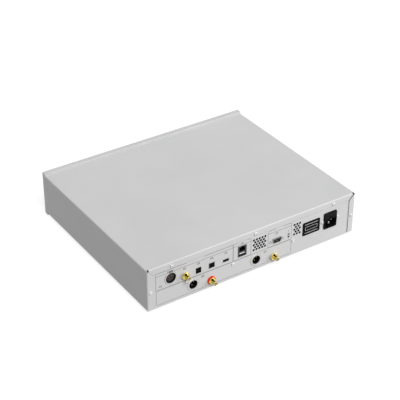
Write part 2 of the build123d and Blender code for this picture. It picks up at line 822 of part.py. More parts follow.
# Male XLR outputs: shell with a narrowed mouth, black cup and three pins, twice
output_bezel = 0.8
output_flange_corner = 9.0
mouth_radius = 8.15
mouth_depth = 2.3
cup_radius = 9.4
cup_gap = 0.05
cup_base = 4.0
cavity_depth = 15.5
pin_radius = 1.2
pin_length = 11.0
pin_root = 3.0
pin_tip = 0.4
output_front_y = wall_y + output_bezel
cup_front_y = output_front_y - mouth_depth
cavity_floor_y = output_front_y - cavity_depth
output_places = [place("xlr_right"), place("xlr_left")]
pin_places = [
    (x + contact_circle * math.cos(math.radians(a)), z + contact_circle * math.sin(math.radians(a)))
    for x, z in output_places
    for a in contact_angles
]

with BuildPart() as xlr_output_shells:
    with BuildSketch(facing(output_front_y)):
        with Locations(output_places):
            Circle(xlr_radius)
    extrude(amount=output_bezel + panel_sheet)
    chamfer(xlr_output_shells.faces().group_by(Axis.Y)[-1].edges(), xlr_edge)
    with BuildSketch(facing(inside_y)):
        with Locations(output_places):
            RectangleRounded(xlr_flange_width, 2 * xlr_flange_low, output_flange_corner)
    extrude(amount=xlr_flange_depth)
    with BuildSketch(facing(inside_y)):
        with Locations(output_places):
            Circle(xlr_radius)
    extrude(amount=cavity_depth + cup_base - output_bezel - panel_sheet)
    with BuildSketch(facing(output_front_y)):
        with Locations(output_places):
            Circle(mouth_radius)
    extrude(amount=mouth_depth, mode=Mode.SUBTRACT)
    with BuildSketch(facing(cup_front_y)):
        with Locations(output_places):
            Circle(cup_radius)
    extrude(amount=xlr_body_depth, mode=Mode.SUBTRACT)

with BuildPart() as xlr_output_inserts:
    with BuildSketch(facing(cup_front_y)):
        with Locations(output_places):
            Circle(cup_radius - cup_gap)
    extrude(amount=cup_front_y - cavity_floor_y + cup_base)
    with BuildSketch(facing(cup_front_y)):
        with Locations(output_places):
            Circle(mouth_radius)
    extrude(amount=cup_front_y - cavity_floor_y, mode=Mode.SUBTRACT)
    with BuildSketch(facing(cavity_floor_y)):
        with Locations(pin_places):
            Circle(pin_radius + cup_gap)
    extrude(amount=pin_root, mode=Mode.SUBTRACT)

with BuildPart() as xlr_output_pins:
    with BuildSketch(facing(cavity_floor_y + pin_length)):
        with Locations(pin_places):
            Circle(pin_radius)
    extrude(amount=pin_length + pin_root)
    chamfer(xlr_output_pins.faces().group_by(Axis.Y)[-1].edges(), pin_tip)

# RCA sockets: coloured ring on the panel, gold nut on the ring, gold barrel through both
ring_radius = 7.8
ring_thickness = 2.0
ring_edge = 0.3
thread_radius = 4.9
thread_clear = 0.05
nut_flats = 12.0
nut_thickness = 2.4
nut_edge = 0.5
thread_proud = 1.4
barrel_radius = 4.15
barrel_edge = 0.5
barrel_bore_radius = 3.4
barrel_bore_depth = 9.0
dielectric_sink = 0.6
dielectric_hole_radius = 1.6
dielectric_hole_depth = 8.0
back_washer_thickness = 2.5
tail_radius = 3.6
tail_length = 13.0
rca_tip_y = wall_y + rca_reach
ring_front_y = wall_y + ring_thickness
nut_front_y = ring_front_y + nut_thickness
rca_places = [place("coax"), place("rca_right"), place("rca_left")]


def rca_ring(places):
    """Insulating rings on the outside of the panel, with a neck that fills the panel's hole."""
    with BuildPart(mode=Mode.PRIVATE) as ring:
        with BuildSketch(facing(ring_front_y)):
            with Locations(places):
                Circle(ring_radius)
        extrude(amount=ring_thickness)
        chamfer(ring.faces().group_by(Axis.Y)[-1].edges(), ring_edge)
        with BuildSketch(facing(wall_y)):
            with Locations(places):
                Circle(rca_neck_radius)
        extrude(amount=panel_sheet)
        with BuildSketch(facing(ring_front_y)):
            with Locations(places):
                Circle(thread_radius + thread_clear)
        extrude(amount=ring_thickness + panel_sheet, mode=Mode.SUBTRACT)
    return ring.part


with BuildPart() as rca_ring_red:
    add(rca_ring([place("rca_right")]))

with BuildPart() as rca_rings_white:
    add(rca_ring([place("coax"), place("rca_left")]))

with BuildPart() as rca_nuts:
    with BuildSketch(facing(nut_front_y)):
        with Locations(rca_places):
            RegularPolygon(nut_flats / 2, 6, major_radius=False)
    extrude(amount=nut_thickness)
    chamfer(rca_nuts.faces().group_by(Axis.Y)[-1].edges(), nut_edge)
    with BuildSketch(facing(nut_front_y)):
        with Locations(rca_places):
            Circle(thread_radius + thread_clear)
    extrude(amount=nut_thickness, mode=Mode.SUBTRACT)

with BuildPart() as rca_barrels:
    with BuildSketch(facing(rca_tip_y)):
        with Locations(rca_places):
            Circle(barrel_radius)
    extrude(amount=rca_tip_y - nut_front_y)
    chamfer(rca_barrels.faces().group_by(Axis.Y)[-1].edges(), barrel_edge)
    with BuildSketch(facing(nut_front_y + thread_proud)):
        with Locations(rca_places):
            Circle(thread_radius)
    extrude(amount=nut_front_y + thread_proud - inside_y)
    with BuildSketch(facing(inside_y)):
        with Locations(rca_places):
            Circle(washer_radius)
    extrude(amount=back_washer_thickness)
    with BuildSketch(facing(inside_y)):
        with Locations(rca_places):
            Circle(tail_radius)
    extrude(amount=tail_length)
    with BuildSketch(facing(rca_tip_y)):
        with Locations(rca_places):
            Circle(barrel_bore_radius)
    extrude(amount=barrel_bore_depth, mode=Mode.SUBTRACT)

with BuildPart() as rca_insulators:
    with BuildSketch(facing(rca_tip_y - dielectric_sink)):
        with Locations(rca_places):
            Circle(barrel_bore_radius - cup_gap)
    extrude(amount=barrel_bore_depth - dielectric_sink)
    with BuildSketch(facing(rca_tip_y - dielectric_sink)):
        with Locations(rca_places):
            Circle(dielectric_hole_radius)
    extrude(amount=dielectric_hole_depth, mode=Mode.SUBTRACT)

# Optical input: square housing and a shutter that swings inward on two pivots
optical_proud = 0.4
optical_depth = 16.0
optical_wall = 1.0
optical_cavity_depth = 13.0
shutter_sink = 2.0
shutter_thickness = 1.0
shutter_gap = 0.15
shutter_axis_drop = 0.9  # hinge axis below the cavity's ceiling
pivot_radius = 0.4
pivot_length = 0.5
pivot_clear = 0.06
optical_x, optical_z = place("optical")
optical_front_y = wall_y + optical_proud
optical_cavity_width = optical_width - 2 * optical_wall
optical_cavity_height = optical_height - 2 * optical_wall
optical_ceiling_z = optical_z + optical_cavity_height / 2
shutter_axis_z = optical_ceiling_z - shutter_axis_drop
shutter_axis_y = optical_front_y - shutter_sink - shutter_thickness / 2
shutter_top_z = shutter_axis_z + shutter_thickness / 2
shutter_bottom_z = optical_z - optical_cavity_height / 2 + shutter_gap

with BuildPart() as optical_housing:
    with BuildSketch(facing(optical_front_y)):
        with Locations((optical_x, optical_z)):
            Rectangle(optical_width, optical_height)
    extrude(amount=optical_depth)
    with BuildSketch(facing(optical_front_y)):
        with Locations((optical_x, optical_z)):
            Rectangle(optical_cavity_width, optical_cavity_height)
    extrude(amount=optical_cavity_depth, mode=Mode.SUBTRACT)
    with BuildSketch(Plane.YZ.offset(optical_x)):
        with Locations((shutter_axis_y, shutter_axis_z)):
            Circle(pivot_radius + pivot_clear)
    extrude(
        amount=optical_cavity_width / 2 + pivot_length + slide_gap, both=True, mode=Mode.SUBTRACT
    )

with BuildPart() as optical_shutter:
    with BuildSketch(facing(shutter_axis_y + shutter_thickness / 2)):
        with Locations((optical_x, (shutter_top_z + shutter_bottom_z) / 2)):
            Rectangle(optical_cavity_width - 2 * shutter_gap, shutter_top_z - shutter_bottom_z)
    extrude(amount=shutter_thickness)
    with BuildSketch(Plane.YZ.offset(optical_x)):
        with Locations((shutter_axis_y, shutter_axis_z)):
            Circle(pivot_radius)
    extrude(amount=optical_cavity_width / 2 + pivot_length, both=True)

# USB-B and USB-A ports: drawn metal shells with a closed back
usb_wall = 0.5
usb_b_depth = 16.0
usb_a_depth = 14.0
usb_proud = 0.3
usb_corner = 0.8
usb_front_y = wall_y + usb_proud
usb_b_x, usb_b_z = place("usb_b")
usb_a_x, usb_a_z = place("usb_a")


def usb_shell(x, z, width, height, depth):
    """A metal box with an open front and a closed back, centred on x and z."""
    with BuildPart(mode=Mode.PRIVATE) as shell:
        with BuildSketch(facing(usb_front_y)):
            with Locations((x, z)):
                RectangleRounded(width, height, usb_corner)
        extrude(amount=depth)
        with BuildSketch(facing(usb_front_y)):
            with Locations((x, z)):
                Rectangle(width - 2 * usb_wall, height - 2 * usb_wall)
        extrude(amount=depth - usb_wall, mode=Mode.SUBTRACT)
    return shell.part


with BuildPart() as usb_b_shell:
    add(usb_shell(usb_b_x, usb_b_z, usb_b_width, usb_b_height, usb_b_depth))

with BuildPart() as usb_a_shell:
    add(usb_shell(usb_a_x, usb_a_z, usb_a_width, usb_a_height, usb_a_depth))

# Network socket: metal box with a moulded insert that holds two mouths, one above the other
network_proud = 0.4
network_wall = 0.5
network_depth = 21.0
insert_sink = 0.3
mouth_width = 12.0
mouth_height = 8.0
notch_width = 6.0
notch_height = 2.2
mouth_cavity_depth = 14.0
lower_width = 12.6
lower_height = 6.4
lower_drop = 5.9  # middle of the lower mouth below the socket's middle
mouth_rise = 3.7  # middle of the upper mouth above it
network_x, network_z = place("network")
network_front_y = wall_y + network_proud
insert_front_y = network_front_y - insert_sink
insert_back_y = network_front_y - network_depth + network_wall

with BuildPart() as network_shell:
    with BuildSketch(facing(network_front_y)):
        with Locations((network_x, network_z)):
            Rectangle(network_width, network_height)
    extrude(amount=network_depth)
    with BuildSketch(facing(network_front_y)):
        with Locations((network_x, network_z)):
            Rectangle(network_width - 2 * network_wall, network_height - 2 * network_wall)
    extrude(amount=network_depth - network_wall, mode=Mode.SUBTRACT)

with BuildPart() as network_insert:
    with BuildSketch(facing(insert_front_y)):
        with Locations((network_x, network_z)):
            Rectangle(
                network_width - 2 * network_wall - 2 * cup_gap,
                network_height - 2 * network_wall - 2 * cup_gap,
            )
    extrude(amount=insert_front_y - insert_back_y)
    with BuildSketch(facing(insert_front_y)):
        with Locations((network_x, network_z + mouth_rise)):
            Rectangle(mouth_width, mouth_height)
        with Locations((network_x, network_z + mouth_rise + mouth_height / 2 + notch_height / 2)):
            Rectangle(notch_width, notch_height)
        with Locations((network_x, network_z - lower_drop)):
            Rectangle(lower_width, lower_height)
    extrude(amount=mouth_cavity_depth, mode=Mode.SUBTRACT)

# Tongues: the contact boards inside the three USB mouths
tongue_sink = 1.5
tongue_a_thickness = 1.9
tongue_a_margin = 0.8
tongue_b_width = 5.7
tongue_b_height = 3.2
tongue_ceiling_gap = 1.1
tongue_a_width = usb_a_width - 2 * usb_wall - 2 * tongue_a_margin
tongue_c_width = lower_width - 2 * tongue_a_margin
tongue_a_z = usb_a_z + usb_a_height / 2 - usb_wall - tongue_ceiling_gap - tongue_a_thickness / 2
tongue_c_z = network_z - lower_drop + lower_height / 2 - tongue_ceiling_gap - tongue_a_thickness / 2

with BuildPart() as usb_tongues:
    with BuildSketch(facing(usb_front_y - usb_b_depth + usb_wall)):
        with Locations((usb_b_x, usb_b_z)):
            Rectangle(tongue_b_width, tongue_b_height)
    extrude(amount=-(usb_b_depth - usb_wall - tongue_sink))
    with BuildSketch(facing(usb_front_y - usb_a_depth + usb_wall)):
        with Locations((usb_a_x, tongue_a_z)):
            Rectangle(tongue_a_width, tongue_a_thickness)
    extrude(amount=-(usb_a_depth - usb_wall - tongue_sink))
    with BuildSketch(facing(insert_front_y - mouth_cavity_depth)):
        with Locations((network_x, tongue_c_z)):
            Rectangle(tongue_c_width, tongue_a_thickness)
    extrude(amount=-(mouth_cavity_depth - tongue_sink))

# Serial port: steel shell with a flange behind the panel, black insert, nine pins, jackposts
serial_proud = 2.2
serial_wall = 0.6
serial_flange_width = 31.0
serial_flange_height = 12.4
serial_flange_thickness = 1.2
serial_insert_sink = 3.6
serial_insert_depth = 6.4
serial_grip = 3.0  # length of the insert that the shell's tube holds
serial_pin_radius = 0.5
serial_pin_pitch = 2.77
serial_row_gap = 2.84
serial_pin_length = 4.6
jackpost_flats = 4.8
jackpost_length = 2.0
jackpost_bore_radius = 1.3
jackpost_bore_depth = 1.2
serial_x, serial_z = place("serial")
serial_front_y = wall_y + serial_proud
serial_floor_y = wall_y - serial_insert_sink
serial_pin_places = [
    (serial_x + (column - (count - 1) / 2) * serial_pin_pitch, serial_z + row * serial_row_gap / 2)
    for row, count in ((1, 5), (-1, 4))
    for column in range(count)
]

with BuildPart() as serial_shell:
    with BuildSketch(facing(serial_front_y)):
        with Locations((serial_x, serial_z)):
            d_outline(serial_width, serial_height, serial_slant)
    extrude(amount=serial_front_y - serial_floor_y + serial_grip)
    with BuildSketch(facing(inside_y)):
        with Locations((serial_x, serial_z)):
            Rectangle(serial_flange_width, serial_flange_height)
            with GridLocations(jackpost_pitch, 0, 2, 1):
                Circle(jackpost_stem_radius, mode=Mode.SUBTRACT)
    extrude(amount=serial_flange_thickness)
    with BuildSketch(facing(serial_front_y)):
        with Locations((serial_x, serial_z)):
            d_outline(serial_width - 2 * serial_wall, serial_height - 2 * serial_wall, serial_slant)
    extrude(amount=serial_front_y - serial_floor_y + serial_grip, mode=Mode.SUBTRACT)

with BuildPart() as serial_insert:
    with BuildSketch(facing(serial_floor_y)):
        with Locations((serial_x, serial_z)):
            d_outline(
                serial_width - 2 * serial_wall - 2 * cup_gap,
                serial_height - 2 * serial_wall - 2 * cup_gap,
                serial_slant,
            )
    extrude(amount=serial_insert_depth)
    with BuildSketch(facing(serial_floor_y)):
        with Locations(serial_pin_places):
            Circle(serial_pin_radius + thread_clear)
    extrude(amount=serial_pin_length, mode=Mode.SUBTRACT)

with BuildPart() as serial_pins:
    with BuildSketch(facing(serial_floor_y + serial_pin_length)):
        with Locations(serial_pin_places):
            Circle(serial_pin_radius)
    extrude(amount=2 * serial_pin_length)

with BuildPart() as serial_jackposts:
    with BuildSketch(facing(wall_y + jackpost_length)):
        with Locations((serial_x, serial_z)):
            with GridLocations(jackpost_pitch, 0, 2, 1):
                RegularPolygon(jackpost_flats / 2, 6, major_radius=False)
    extrude(amount=jackpost_length)
    with BuildSketch(facing(wall_y)):
        with Locations((serial_x, serial_z)):
            with GridLocations(jackpost_pitch, 0, 2, 1):
                Circle(jackpost_stem_radius - shank_clear)
    extrude(amount=panel_sheet + serial_flange_thickness + jackpost_bore_radius)
    with BuildSketch(facing(wall_y + jackpost_length)):
        with Locations((serial_x, serial_z)):
            with GridLocations(jackpost_pitch, 0, 2, 1):
                Circle(jackpost_bore_radius)
    extrude(amount=jackpost_bore_depth, mode=Mode.SUBTRACT)

# Slide switch: small body behind the panel and a lever in a slot
switch_body_width = 8.0
switch_body_height = 12.0
switch_body_depth = 6.0
switch_slot_depth = 3.0
lever_width = 2.6
lever_height = 1.8
lever_proud = 1.2
lever_foot_gap = 0.1
lever_travel = 2.2
switch_x, switch_z = place("slide_switch")

with BuildPart() as slide_switch_body:
    with BuildSketch(facing(inside_y)):
        with Locations((switch_x, switch_z)):
            Rectangle(switch_body_width, switch_body_height)
            Rectangle(lever_width + 2 * slide_gap, switch_slot_height, mode=Mode.SUBTRACT)
    extrude(amount=switch_slot_depth)
    with BuildSketch(facing(inside_y - switch_slot_depth)):
        with Locations((switch_x, switch_z)):
            Rectangle(switch_body_width, switch_body_height)
    extrude(amount=switch_body_depth - switch_slot_depth)

with BuildPart() as slide_switch_lever:
    with BuildSketch(facing(wall_y + lever_proud)):
        with Locations((switch_x, switch_z)):
            Rectangle(lever_width, lever_height)
    extrude(amount=lever_proud + panel_sheet + switch_slot_depth - lever_foot_gap)

# Data plate: thin black plate on the outside of the panel
plate_width_share = 0.088
plate_height_share = 0.328
plate_thickness = 0.6
plate_corner = 2.5
with BuildPart() as data_plate:
    with BuildSketch(facing(wall_y)):
        with Locations(place("data_plate")):
            RectangleRounded(
                plate_width_share * case_width, plate_height_share * case_height, plate_corner
            )
    extrude(amount=-plate_thickness)

# Mains inlet: moulded housing with a cavity for the plug and a pocket for the fuse drawer
mains_proud = 2.4
mains_flange_margin = 4.5  # beyond the screws' centres
mains_flange_width = inlet_screw_pitch + 2 * mains_flange_margin
mains_flange_thickness = 2.5
mains_body_inset = 0.75
mains_body_depth = 30.0
mains_edge = 0.6
plug_width = 24.0
plug_height = 16.4
plug_drop = 5.95  # middle of the plug cavity below the inlet's middle
plug_corner = 4.0
plug_depth = 17.0
blade_width = 2.0
blade_height = 4.0
blade_length = 10.0
earth_lead = 2.4  # how far the earth blade reaches in front of the live ones
blade_root = 4.0
blade_pitch = 14.0
blade_rise = 2.0  # live blades above the cavity's middle, earth blade as far below
blade_edge = 0.4
blade_clear = 0.05
drawer_width = 22.0
drawer_height = 9.0
drawer_rise = 10.4
drawer_gap = 0.2
drawer_depth = 24.0
drawer_pocket_gap = 0.3
drawer_travel = 16.0
drawer_front = 2.4
drawer_wall = 1.0
pull_width = 8.0
pull_height = 1.6
pull_depth = 1.2
fuse_radius = 2.6
fuse_length = 20.0
fuse_play = 0.1
mains_x, mains_z = place("mains")
mains_front_y = wall_y + mains_proud
plug_z = mains_z - plug_drop
plug_floor_y = mains_front_y - plug_depth
drawer_z = mains_z + drawer_rise
blade_places = [
    (mains_x - blade_pitch / 2, plug_z + blade_rise),
    (mains_x + blade_pitch / 2, plug_z + blade_rise),
    (mains_x, plug_z - blade_rise),
]

with BuildPart() as mains_inlet:
    with BuildSketch(facing(mains_front_y)):
        with Locations((mains_x, mains_z)):
            RectangleRounded(mains_width, mains_height, mains_corner)
    extrude(amount=mains_front_y - inside_y)
    chamfer(mains_inlet.faces().sort_by(Axis.Y)[-1].edges(), mains_edge)
    with BuildSketch(facing(inside_y)):
        with Locations((mains_x, mains_z)):
            Rectangle(mains_flange_width, mains_height)
            with GridLocations(inlet_screw_pitch, 0, 2, 1):
                Circle(screw_shank_radius, mode=Mode.SUBTRACT)
    extrude(amount=mains_flange_thickness)
    with BuildSketch(facing(inside_y)):
        with Locations((mains_x, mains_z)):
            Rectangle(mains_width - 2 * mains_body_inset, mains_height - 2 * mains_body_inset)
    extrude(amount=mains_body_depth)
    with BuildSketch(facing(mains_front_y)):
        with Locations((mains_x, plug_z)):
            Polygon(
                (-plug_width / 2, plug_height / 2),
                (plug_width / 2, plug_height / 2),
                (plug_width / 2, plug_corner - plug_height / 2),
                (plug_width / 2 - plug_corner, -plug_height / 2),
                (plug_corner - plug_width / 2, -plug_height / 2),
                (-plug_width / 2, plug_corner - plug_height / 2),
                align=None,
            )
    extrude(amount=plug_depth, mode=Mode.SUBTRACT)
    with BuildSketch(facing(plug_floor_y)):
        with Locations(blade_places):
            Rectangle(blade_width + 2 * blade_clear, blade_height + 2 * blade_clear)
    extrude(amount=blade_root, mode=Mode.SUBTRACT)
    with BuildSketch(facing(mains_front_y)):
        with Locations((mains_x, drawer_z)):
            Rectangle(drawer_width + 2 * drawer_gap, drawer_height + 2 * drawer_gap)
    extrude(amount=drawer_depth + drawer_pocket_gap, mode=Mode.SUBTRACT)

with BuildPart() as mains_pins:
    for blade, reach in zip(blade_places, (blade_length, blade_length, blade_length + earth_lead)):
        with BuildPart(mode=Mode.PRIVATE) as pin:
            with BuildSketch(facing(plug_floor_y + reach)):
                with Locations(blade):
                    Rectangle(blade_width, blade_height)
            extrude(amount=reach + blade_root)
            chamfer(pin.faces().sort_by(Axis.Y)[-1].edges(), blade_edge)
        add(pin.part)

with BuildPart() as fuse_drawer:
    with BuildSketch(facing(mains_front_y)):
        with Locations((mains_x, drawer_z)):
            Rectangle(drawer_width, drawer_height)
    extrude(amount=drawer_depth)
    with BuildSketch(facing(mains_front_y)):
        with Locations((mains_x, drawer_z - drawer_height / 2 + pull_height / 2)):
            Rectangle(pull_width, pull_height)
    extrude(amount=pull_depth, mode=Mode.SUBTRACT)
    with BuildSketch(Plane.XY.offset(drawer_z + drawer_height / 2)):
        with Locations((mains_x, mains_front_y - (drawer_depth + drawer_front) / 2)):
            Rectangle(
                fuse_length + 2 * fuse_play, drawer_depth - drawer_front - 2 * drawer_wall
            )
    extrude(amount=-(drawer_height - drawer_wall), mode=Mode.SUBTRACT)

with BuildPart() as fuse:
    with BuildSketch(Plane.YZ.offset(mains_x - fuse_length / 2)):
        fuse_y = mains_front_y - drawer_front - drawer_wall - fuse_radius
        with Locations((fuse_y, drawer_z - drawer_height / 2 + drawer_wall + fuse_radius)):
            Circle(fuse_radius)
    extrude(amount=fuse_length)

with BuildPart() as inlet_screws:
    for side in (-1, 1):
        x = mains_x + side * inlet_screw_pitch / 2
        add(pan_head_screw((x, wall_y, mains_z), (0, -1, 0), rear_shank))

# Circuit boards: audio board low behind the outputs, digital board under the digital sockets
connector_seats = [
    (optical_z, optical_height),
    (usb_b_z, usb_b_height),
    (usb_a_z, usb_a_height),
    (network_z, network_height),
]
digital_top_z = min(z - height / 2 for z, height in connector_seats)
audio_x_shares = (-0.20, 0.45)
audio_length_share = 0.33
digital_x_shares = (-0.143, 0.345)
digital_length_share = 0.22
power_x_shares = (-0.46, -0.225)
power_length_share = 0.25
power_rear_inset_share = 0.115
power_lift = 6.0
board_rear_gap = 3.0
chip_height = 2.0
chip_size = 14.0
header_depth = 8.0
header_height = 8.0
audio_x0, audio_x1 = [share * case_width for share in audio_x_shares]
digital_x0, digital_x1 = [share * case_width for share in digital_x_shares]
power_x0, power_x1 = [share * case_width for share in power_x_shares]
board_back_y = inside_y - board_rear_gap
notch_width = xlr_flange_width + 2 * seat_gap
notch_depth = board_back_y - cavity_floor_y + cup_base + seat_gap
audio_front_y = board_back_y - audio_length_share * body_depth
digital_front_y = board_back_y - digital_length_share * body_depth
power_rear_y = inside_y - power_rear_inset_share * body_depth
power_front_y = power_rear_y - power_length_share * body_depth
power_top_z = floor_z + power_lift + board_thickness

with BuildPart() as audio_board:
    with BuildSketch(Plane.XY.offset(audio_top_z)):
        with Locations(((audio_x0 + audio_x1) / 2, (audio_front_y + board_back_y) / 2)):
            Rectangle(audio_x1 - audio_x0, board_back_y - audio_front_y)
    extrude(amount=-board_thickness)
    with BuildSketch(Plane.XY.offset(audio_top_z)):
        with Locations(((audio_x0 + audio_x1) / 2, audio_front_y + 2 * chip_size)):
            with GridLocations(3 * chip_size, 2 * chip_size, 4, 2):
                Rectangle(chip_size, chip_size)
    extrude(amount=chip_height)

with BuildPart() as digital_board:
    with BuildSketch(Plane.XY.offset(digital_top_z)):
        with Locations(((digital_x0 + digital_x1) / 2, (digital_front_y + board_back_y) / 2)):
            Rectangle(digital_x1 - digital_x0, board_back_y - digital_front_y)
        # open above the XLR outputs' shells
        with Locations([(x, board_back_y) for x, _ in output_places]):
            Rectangle(notch_width, 2 * notch_depth, mode=Mode.SUBTRACT)
    extrude(amount=-board_thickness)
    with BuildSketch(Plane.XY.offset(digital_top_z)):
        with Locations(((digital_x0 + digital_x1) / 2, digital_front_y + 2 * chip_size)):
            with GridLocations(3 * chip_size, 0, 4, 1):
                Rectangle(chip_size, chip_size)
    extrude(amount=chip_height)
    with BuildSketch(Plane.XY.offset(digital_top_z)):
        with Locations((ribbon_x, digital_front_y + header_depth / 2)):
            Rectangle(connector_width, header_depth)
    extrude(amount=header_height)

with BuildPart() as power_board:
    with BuildSketch(Plane.XY.offset(power_top_z)):
        with Locations(((power_x0 + power_x1) / 2, (power_front_y + power_rear_y) / 2)):
            Rectangle(power_x1 - power_x0, power_rear_y - power_front_y)
    extrude(amount=-board_thickness)

# Capacitors and heat sink stand on the power board
can_radius = 9.0
can_height = 30.0
can_edge = 1.0
can_pitch = 22.0
capacitor_share = 0.27  # across the board, from its outer edge
sink_width = 14.0
sink_length = 60.0
sink_height = 32.0
fin_gap = 2.5
fin_pitch = 5.0
fin_count = 11
sink_web = 4.0
sink_share = 0.78
capacitor_x = power_x0 + capacitor_share * (power_x1 - power_x0)
sink_x = power_x0 + sink_share * (power_x1 - power_x0)
power_middle_y = (power_front_y + power_rear_y) / 2

with BuildPart() as capacitors:
    with BuildSketch(Plane.XY.offset(power_top_z)):
        with Locations((capacitor_x, power_middle_y)):
            with GridLocations(can_pitch, can_pitch, 2, 2):
                Circle(can_radius)
    extrude(amount=can_height)
    chamfer(capacitors.faces().group_by(Axis.Z)[-1].edges(), can_edge)

with BuildPart() as heat_sink:
    with BuildSketch(Plane.XY.offset(power_top_z)):
        with Locations((sink_x, power_middle_y)):
            Rectangle(sink_width, sink_length)
        with Locations((sink_x + sink_web, power_middle_y)):
            with GridLocations(0, fin_pitch, 1, fin_count):
                Rectangle(sink_width, fin_gap, mode=Mode.SUBTRACT)
    extrude(amount=sink_height)

# Stand-offs: short under the audio and power boards, tall between audio and digital board
standoff_radius = 3.0
standoff_inset = 6.0
tall_rear_inset = 32.0
short_places = [
    (audio_x0 + standoff_inset, audio_front_y + standoff_inset),
    (audio_x1 - standoff_inset, audio_front_y + standoff_inset),
    (audio_x0 + standoff_inset, board_back_y - tall_rear_inset),
    (audio_x1 - standoff_inset, board_back_y - tall_rear_inset),
]
tall_places = [
    (x, y)
    for x in (digital_x0 + standoff_inset, digital_x1 - standoff_inset)
    for y in (digital_front_y + standoff_inset, board_back_y - tall_rear_inset)
]
power_places = [
    (x, y)
    for x in (power_x0 + standoff_inset, power_x1 - standoff_inset)
    for y in (power_front_y + standoff_inset, power_rear_y - standoff_inset)
]

with BuildPart() as standoffs:
    with BuildSketch(Plane.XY.offset(floor_z)):
        with Locations(short_places):
            Circle(standoff_radius)
    extrude(amount=audio_top_z - board_thickness - floor_z)
    with BuildSketch(Plane.XY.offset(floor_z)):
        with Locations(power_places):
            Circle(standoff_radius)
    extrude(amount=power_lift)
    with BuildSketch(Plane.XY.offset(audio_top_z)):
        with Locations(tall_places):
            Circle(standoff_radius)
    extrude(amount=digital_top_z - board_thickness - audio_top_z)

# Toroidal transformer: wound ring on the tray, held by a dished plate and a bolt
toroid_radius = 46.0
toroid_hole_radius = 14.0
toroid_height = 36.0
toroid_round = 9.0
toroid_x_share = -0.33
toroid_y_share = -0.16
clamp_radius = 28.0
clamp_thickness = 2.5
clamp_bolt_radius = 3.0
bolt_head_flats = 10.0
bolt_head_height = 5.0
toroid_at = (toroid_x_share * case_width, toroid_y_share * body_depth)
toroid_top_z = floor_z + toroid_height

with BuildPart() as toroid:
    with BuildSketch(Plane.XY.offset(floor_z)):
        with Locations(toroid_at):
            Circle(toroid_radius)
            Circle(toroid_hole_radius, mode=Mode.SUBTRACT)
    extrude(amount=toroid_height)
    rims = toroid.edges().filter_by(GeomType.CIRCLE).filter_by(
        lambda edge: edge.radius > (toroid_radius + toroid_hole_radius) / 2
    )
    fillet(rims, toroid_round)

with BuildPart() as toroid_clamp:
    with BuildSketch(Plane.XY.offset(toroid_top_z)):
        with Locations(toroid_at):
            Circle(clamp_radius)
    extrude(amount=clamp_thickness)
    with BuildSketch(Plane.XY.offset(floor_z)):
        with Locations(toroid_at):
            Circle(clamp_bolt_radius)
    extrude(amount=toroid_height + clamp_thickness)
    with BuildSketch(Plane.XY.offset(toroid_top_z + clamp_thickness)):
        with Locations(toroid_at):
            RegularPolygon(bolt_head_flats / 2, 6, major_radius=False)
    extrude(amount=bolt_head_height)

# Ribbon cable: flat strip from the control board's plug, along the tray, to the digital board
ribbon_width = 30.0
ribbon_thickness = 1.2
ribbon_bend = 8.0
ribbon_out = 14.0
ribbon_slope = 22.0
ribbon_lift = 9.0
ribbon_start_y = board_rear_y + connector_depth
ribbon_end_z = digital_top_z + header_height / 2
ribbon_low_z = floor_z + ribbon_lift
ribbon_points = [
    (ribbon_start_y, front_level),
    (ribbon_start_y + ribbon_out, front_level),
    (ribbon_start_y + ribbon_out + ribbon_slope, ribbon_low_z),
    (digital_front_y - ribbon_out - ribbon_slope, ribbon_low_z),
    (digital_front_y - ribbon_out, ribbon_end_z),
    (digital_front_y, ribbon_end_z),
]

with BuildPart() as ribbon_cable:
    with BuildSketch(Plane.YZ.offset(ribbon_x - ribbon_width / 2)):
        with BuildLine():
            FilletPolyline(*ribbon_points, radius=ribbon_bend)
        trace(line_width=ribbon_thickness)
    extrude(amount=ribbon_width)

# Write every finished piece under its own name
pieces = {
    "cover": cover,
    "rear_panel": rear_panel,
    "base_tray": base_tray,
    "rear_rail": rear_rail,
    "fascia": fascia,
    "front_subpanel": front_subpanel,
    "display_window": display_window,
    "display_module": display_module,
    "control_board": control_board,
    **button_parts,
    "infrared_window": infrared_window,
    "rear_screws": rear_screws,
    "feet": feet,
    "foot_pads": foot_pads,
    "base_screws": base_screws,
    "fascia_screws": fascia_screws,
    "xlr_input_shell": xlr_input_shell,
    "xlr_input_insert": xlr_input_insert,
    "xlr_input_contacts": xlr_input_contacts,
    "xlr_latch": xlr_latch,
    "xlr_output_shells": xlr_output_shells,
    "xlr_output_inserts": xlr_output_inserts,
    "xlr_output_pins": xlr_output_pins,
    "rca_ring_red": rca_ring_red,
    "rca_rings_white": rca_rings_white,
    "rca_nuts": rca_nuts,
    "rca_barrels": rca_barrels,
    "rca_insulators": rca_insulators,
    "optical_housing": optical_housing,
    "optical_shutter": optical_shutter,
    "usb_b_shell": usb_b_shell,
    "usb_a_shell": usb_a_shell,
    "usb_tongues": usb_tongues,
    "network_shell": network_shell,
    "network_insert": network_insert,
    "serial_shell": serial_shell,
    "serial_insert": serial_insert,
    "serial_pins": serial_pins,
    "serial_jackposts": serial_jackposts,
    "slide_switch_body": slide_switch_body,
    "slide_switch_lever": slide_switch_lever,
    "data_plate": data_plate,
    "mains_inlet": mains_inlet,
    "mains_pins": mains_pins,
    "fuse_drawer": fuse_drawer,
    "fuse": fuse,
    "inlet_screws": inlet_screws,
    "audio_board": audio_board,
    "digital_board": digital_board,
    "power_board": power_board,
    "capacitors": capacitors,
    "heat_sink": heat_sink,
    "standoffs": standoffs,
    "toroid": toroid,
    "toroid_clamp": toroid_clamp,
    "ribbon_cable": ribbon_cable,
}
os.makedirs("parts", exist_ok=True)
for name, piece in pieces.items():
    piece.part.label = name
    export_step(piece.part, f"parts/{name}.step")
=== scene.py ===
import math
import bmesh
import bpy
import numpy as np
from mathutils import Matrix, Vector


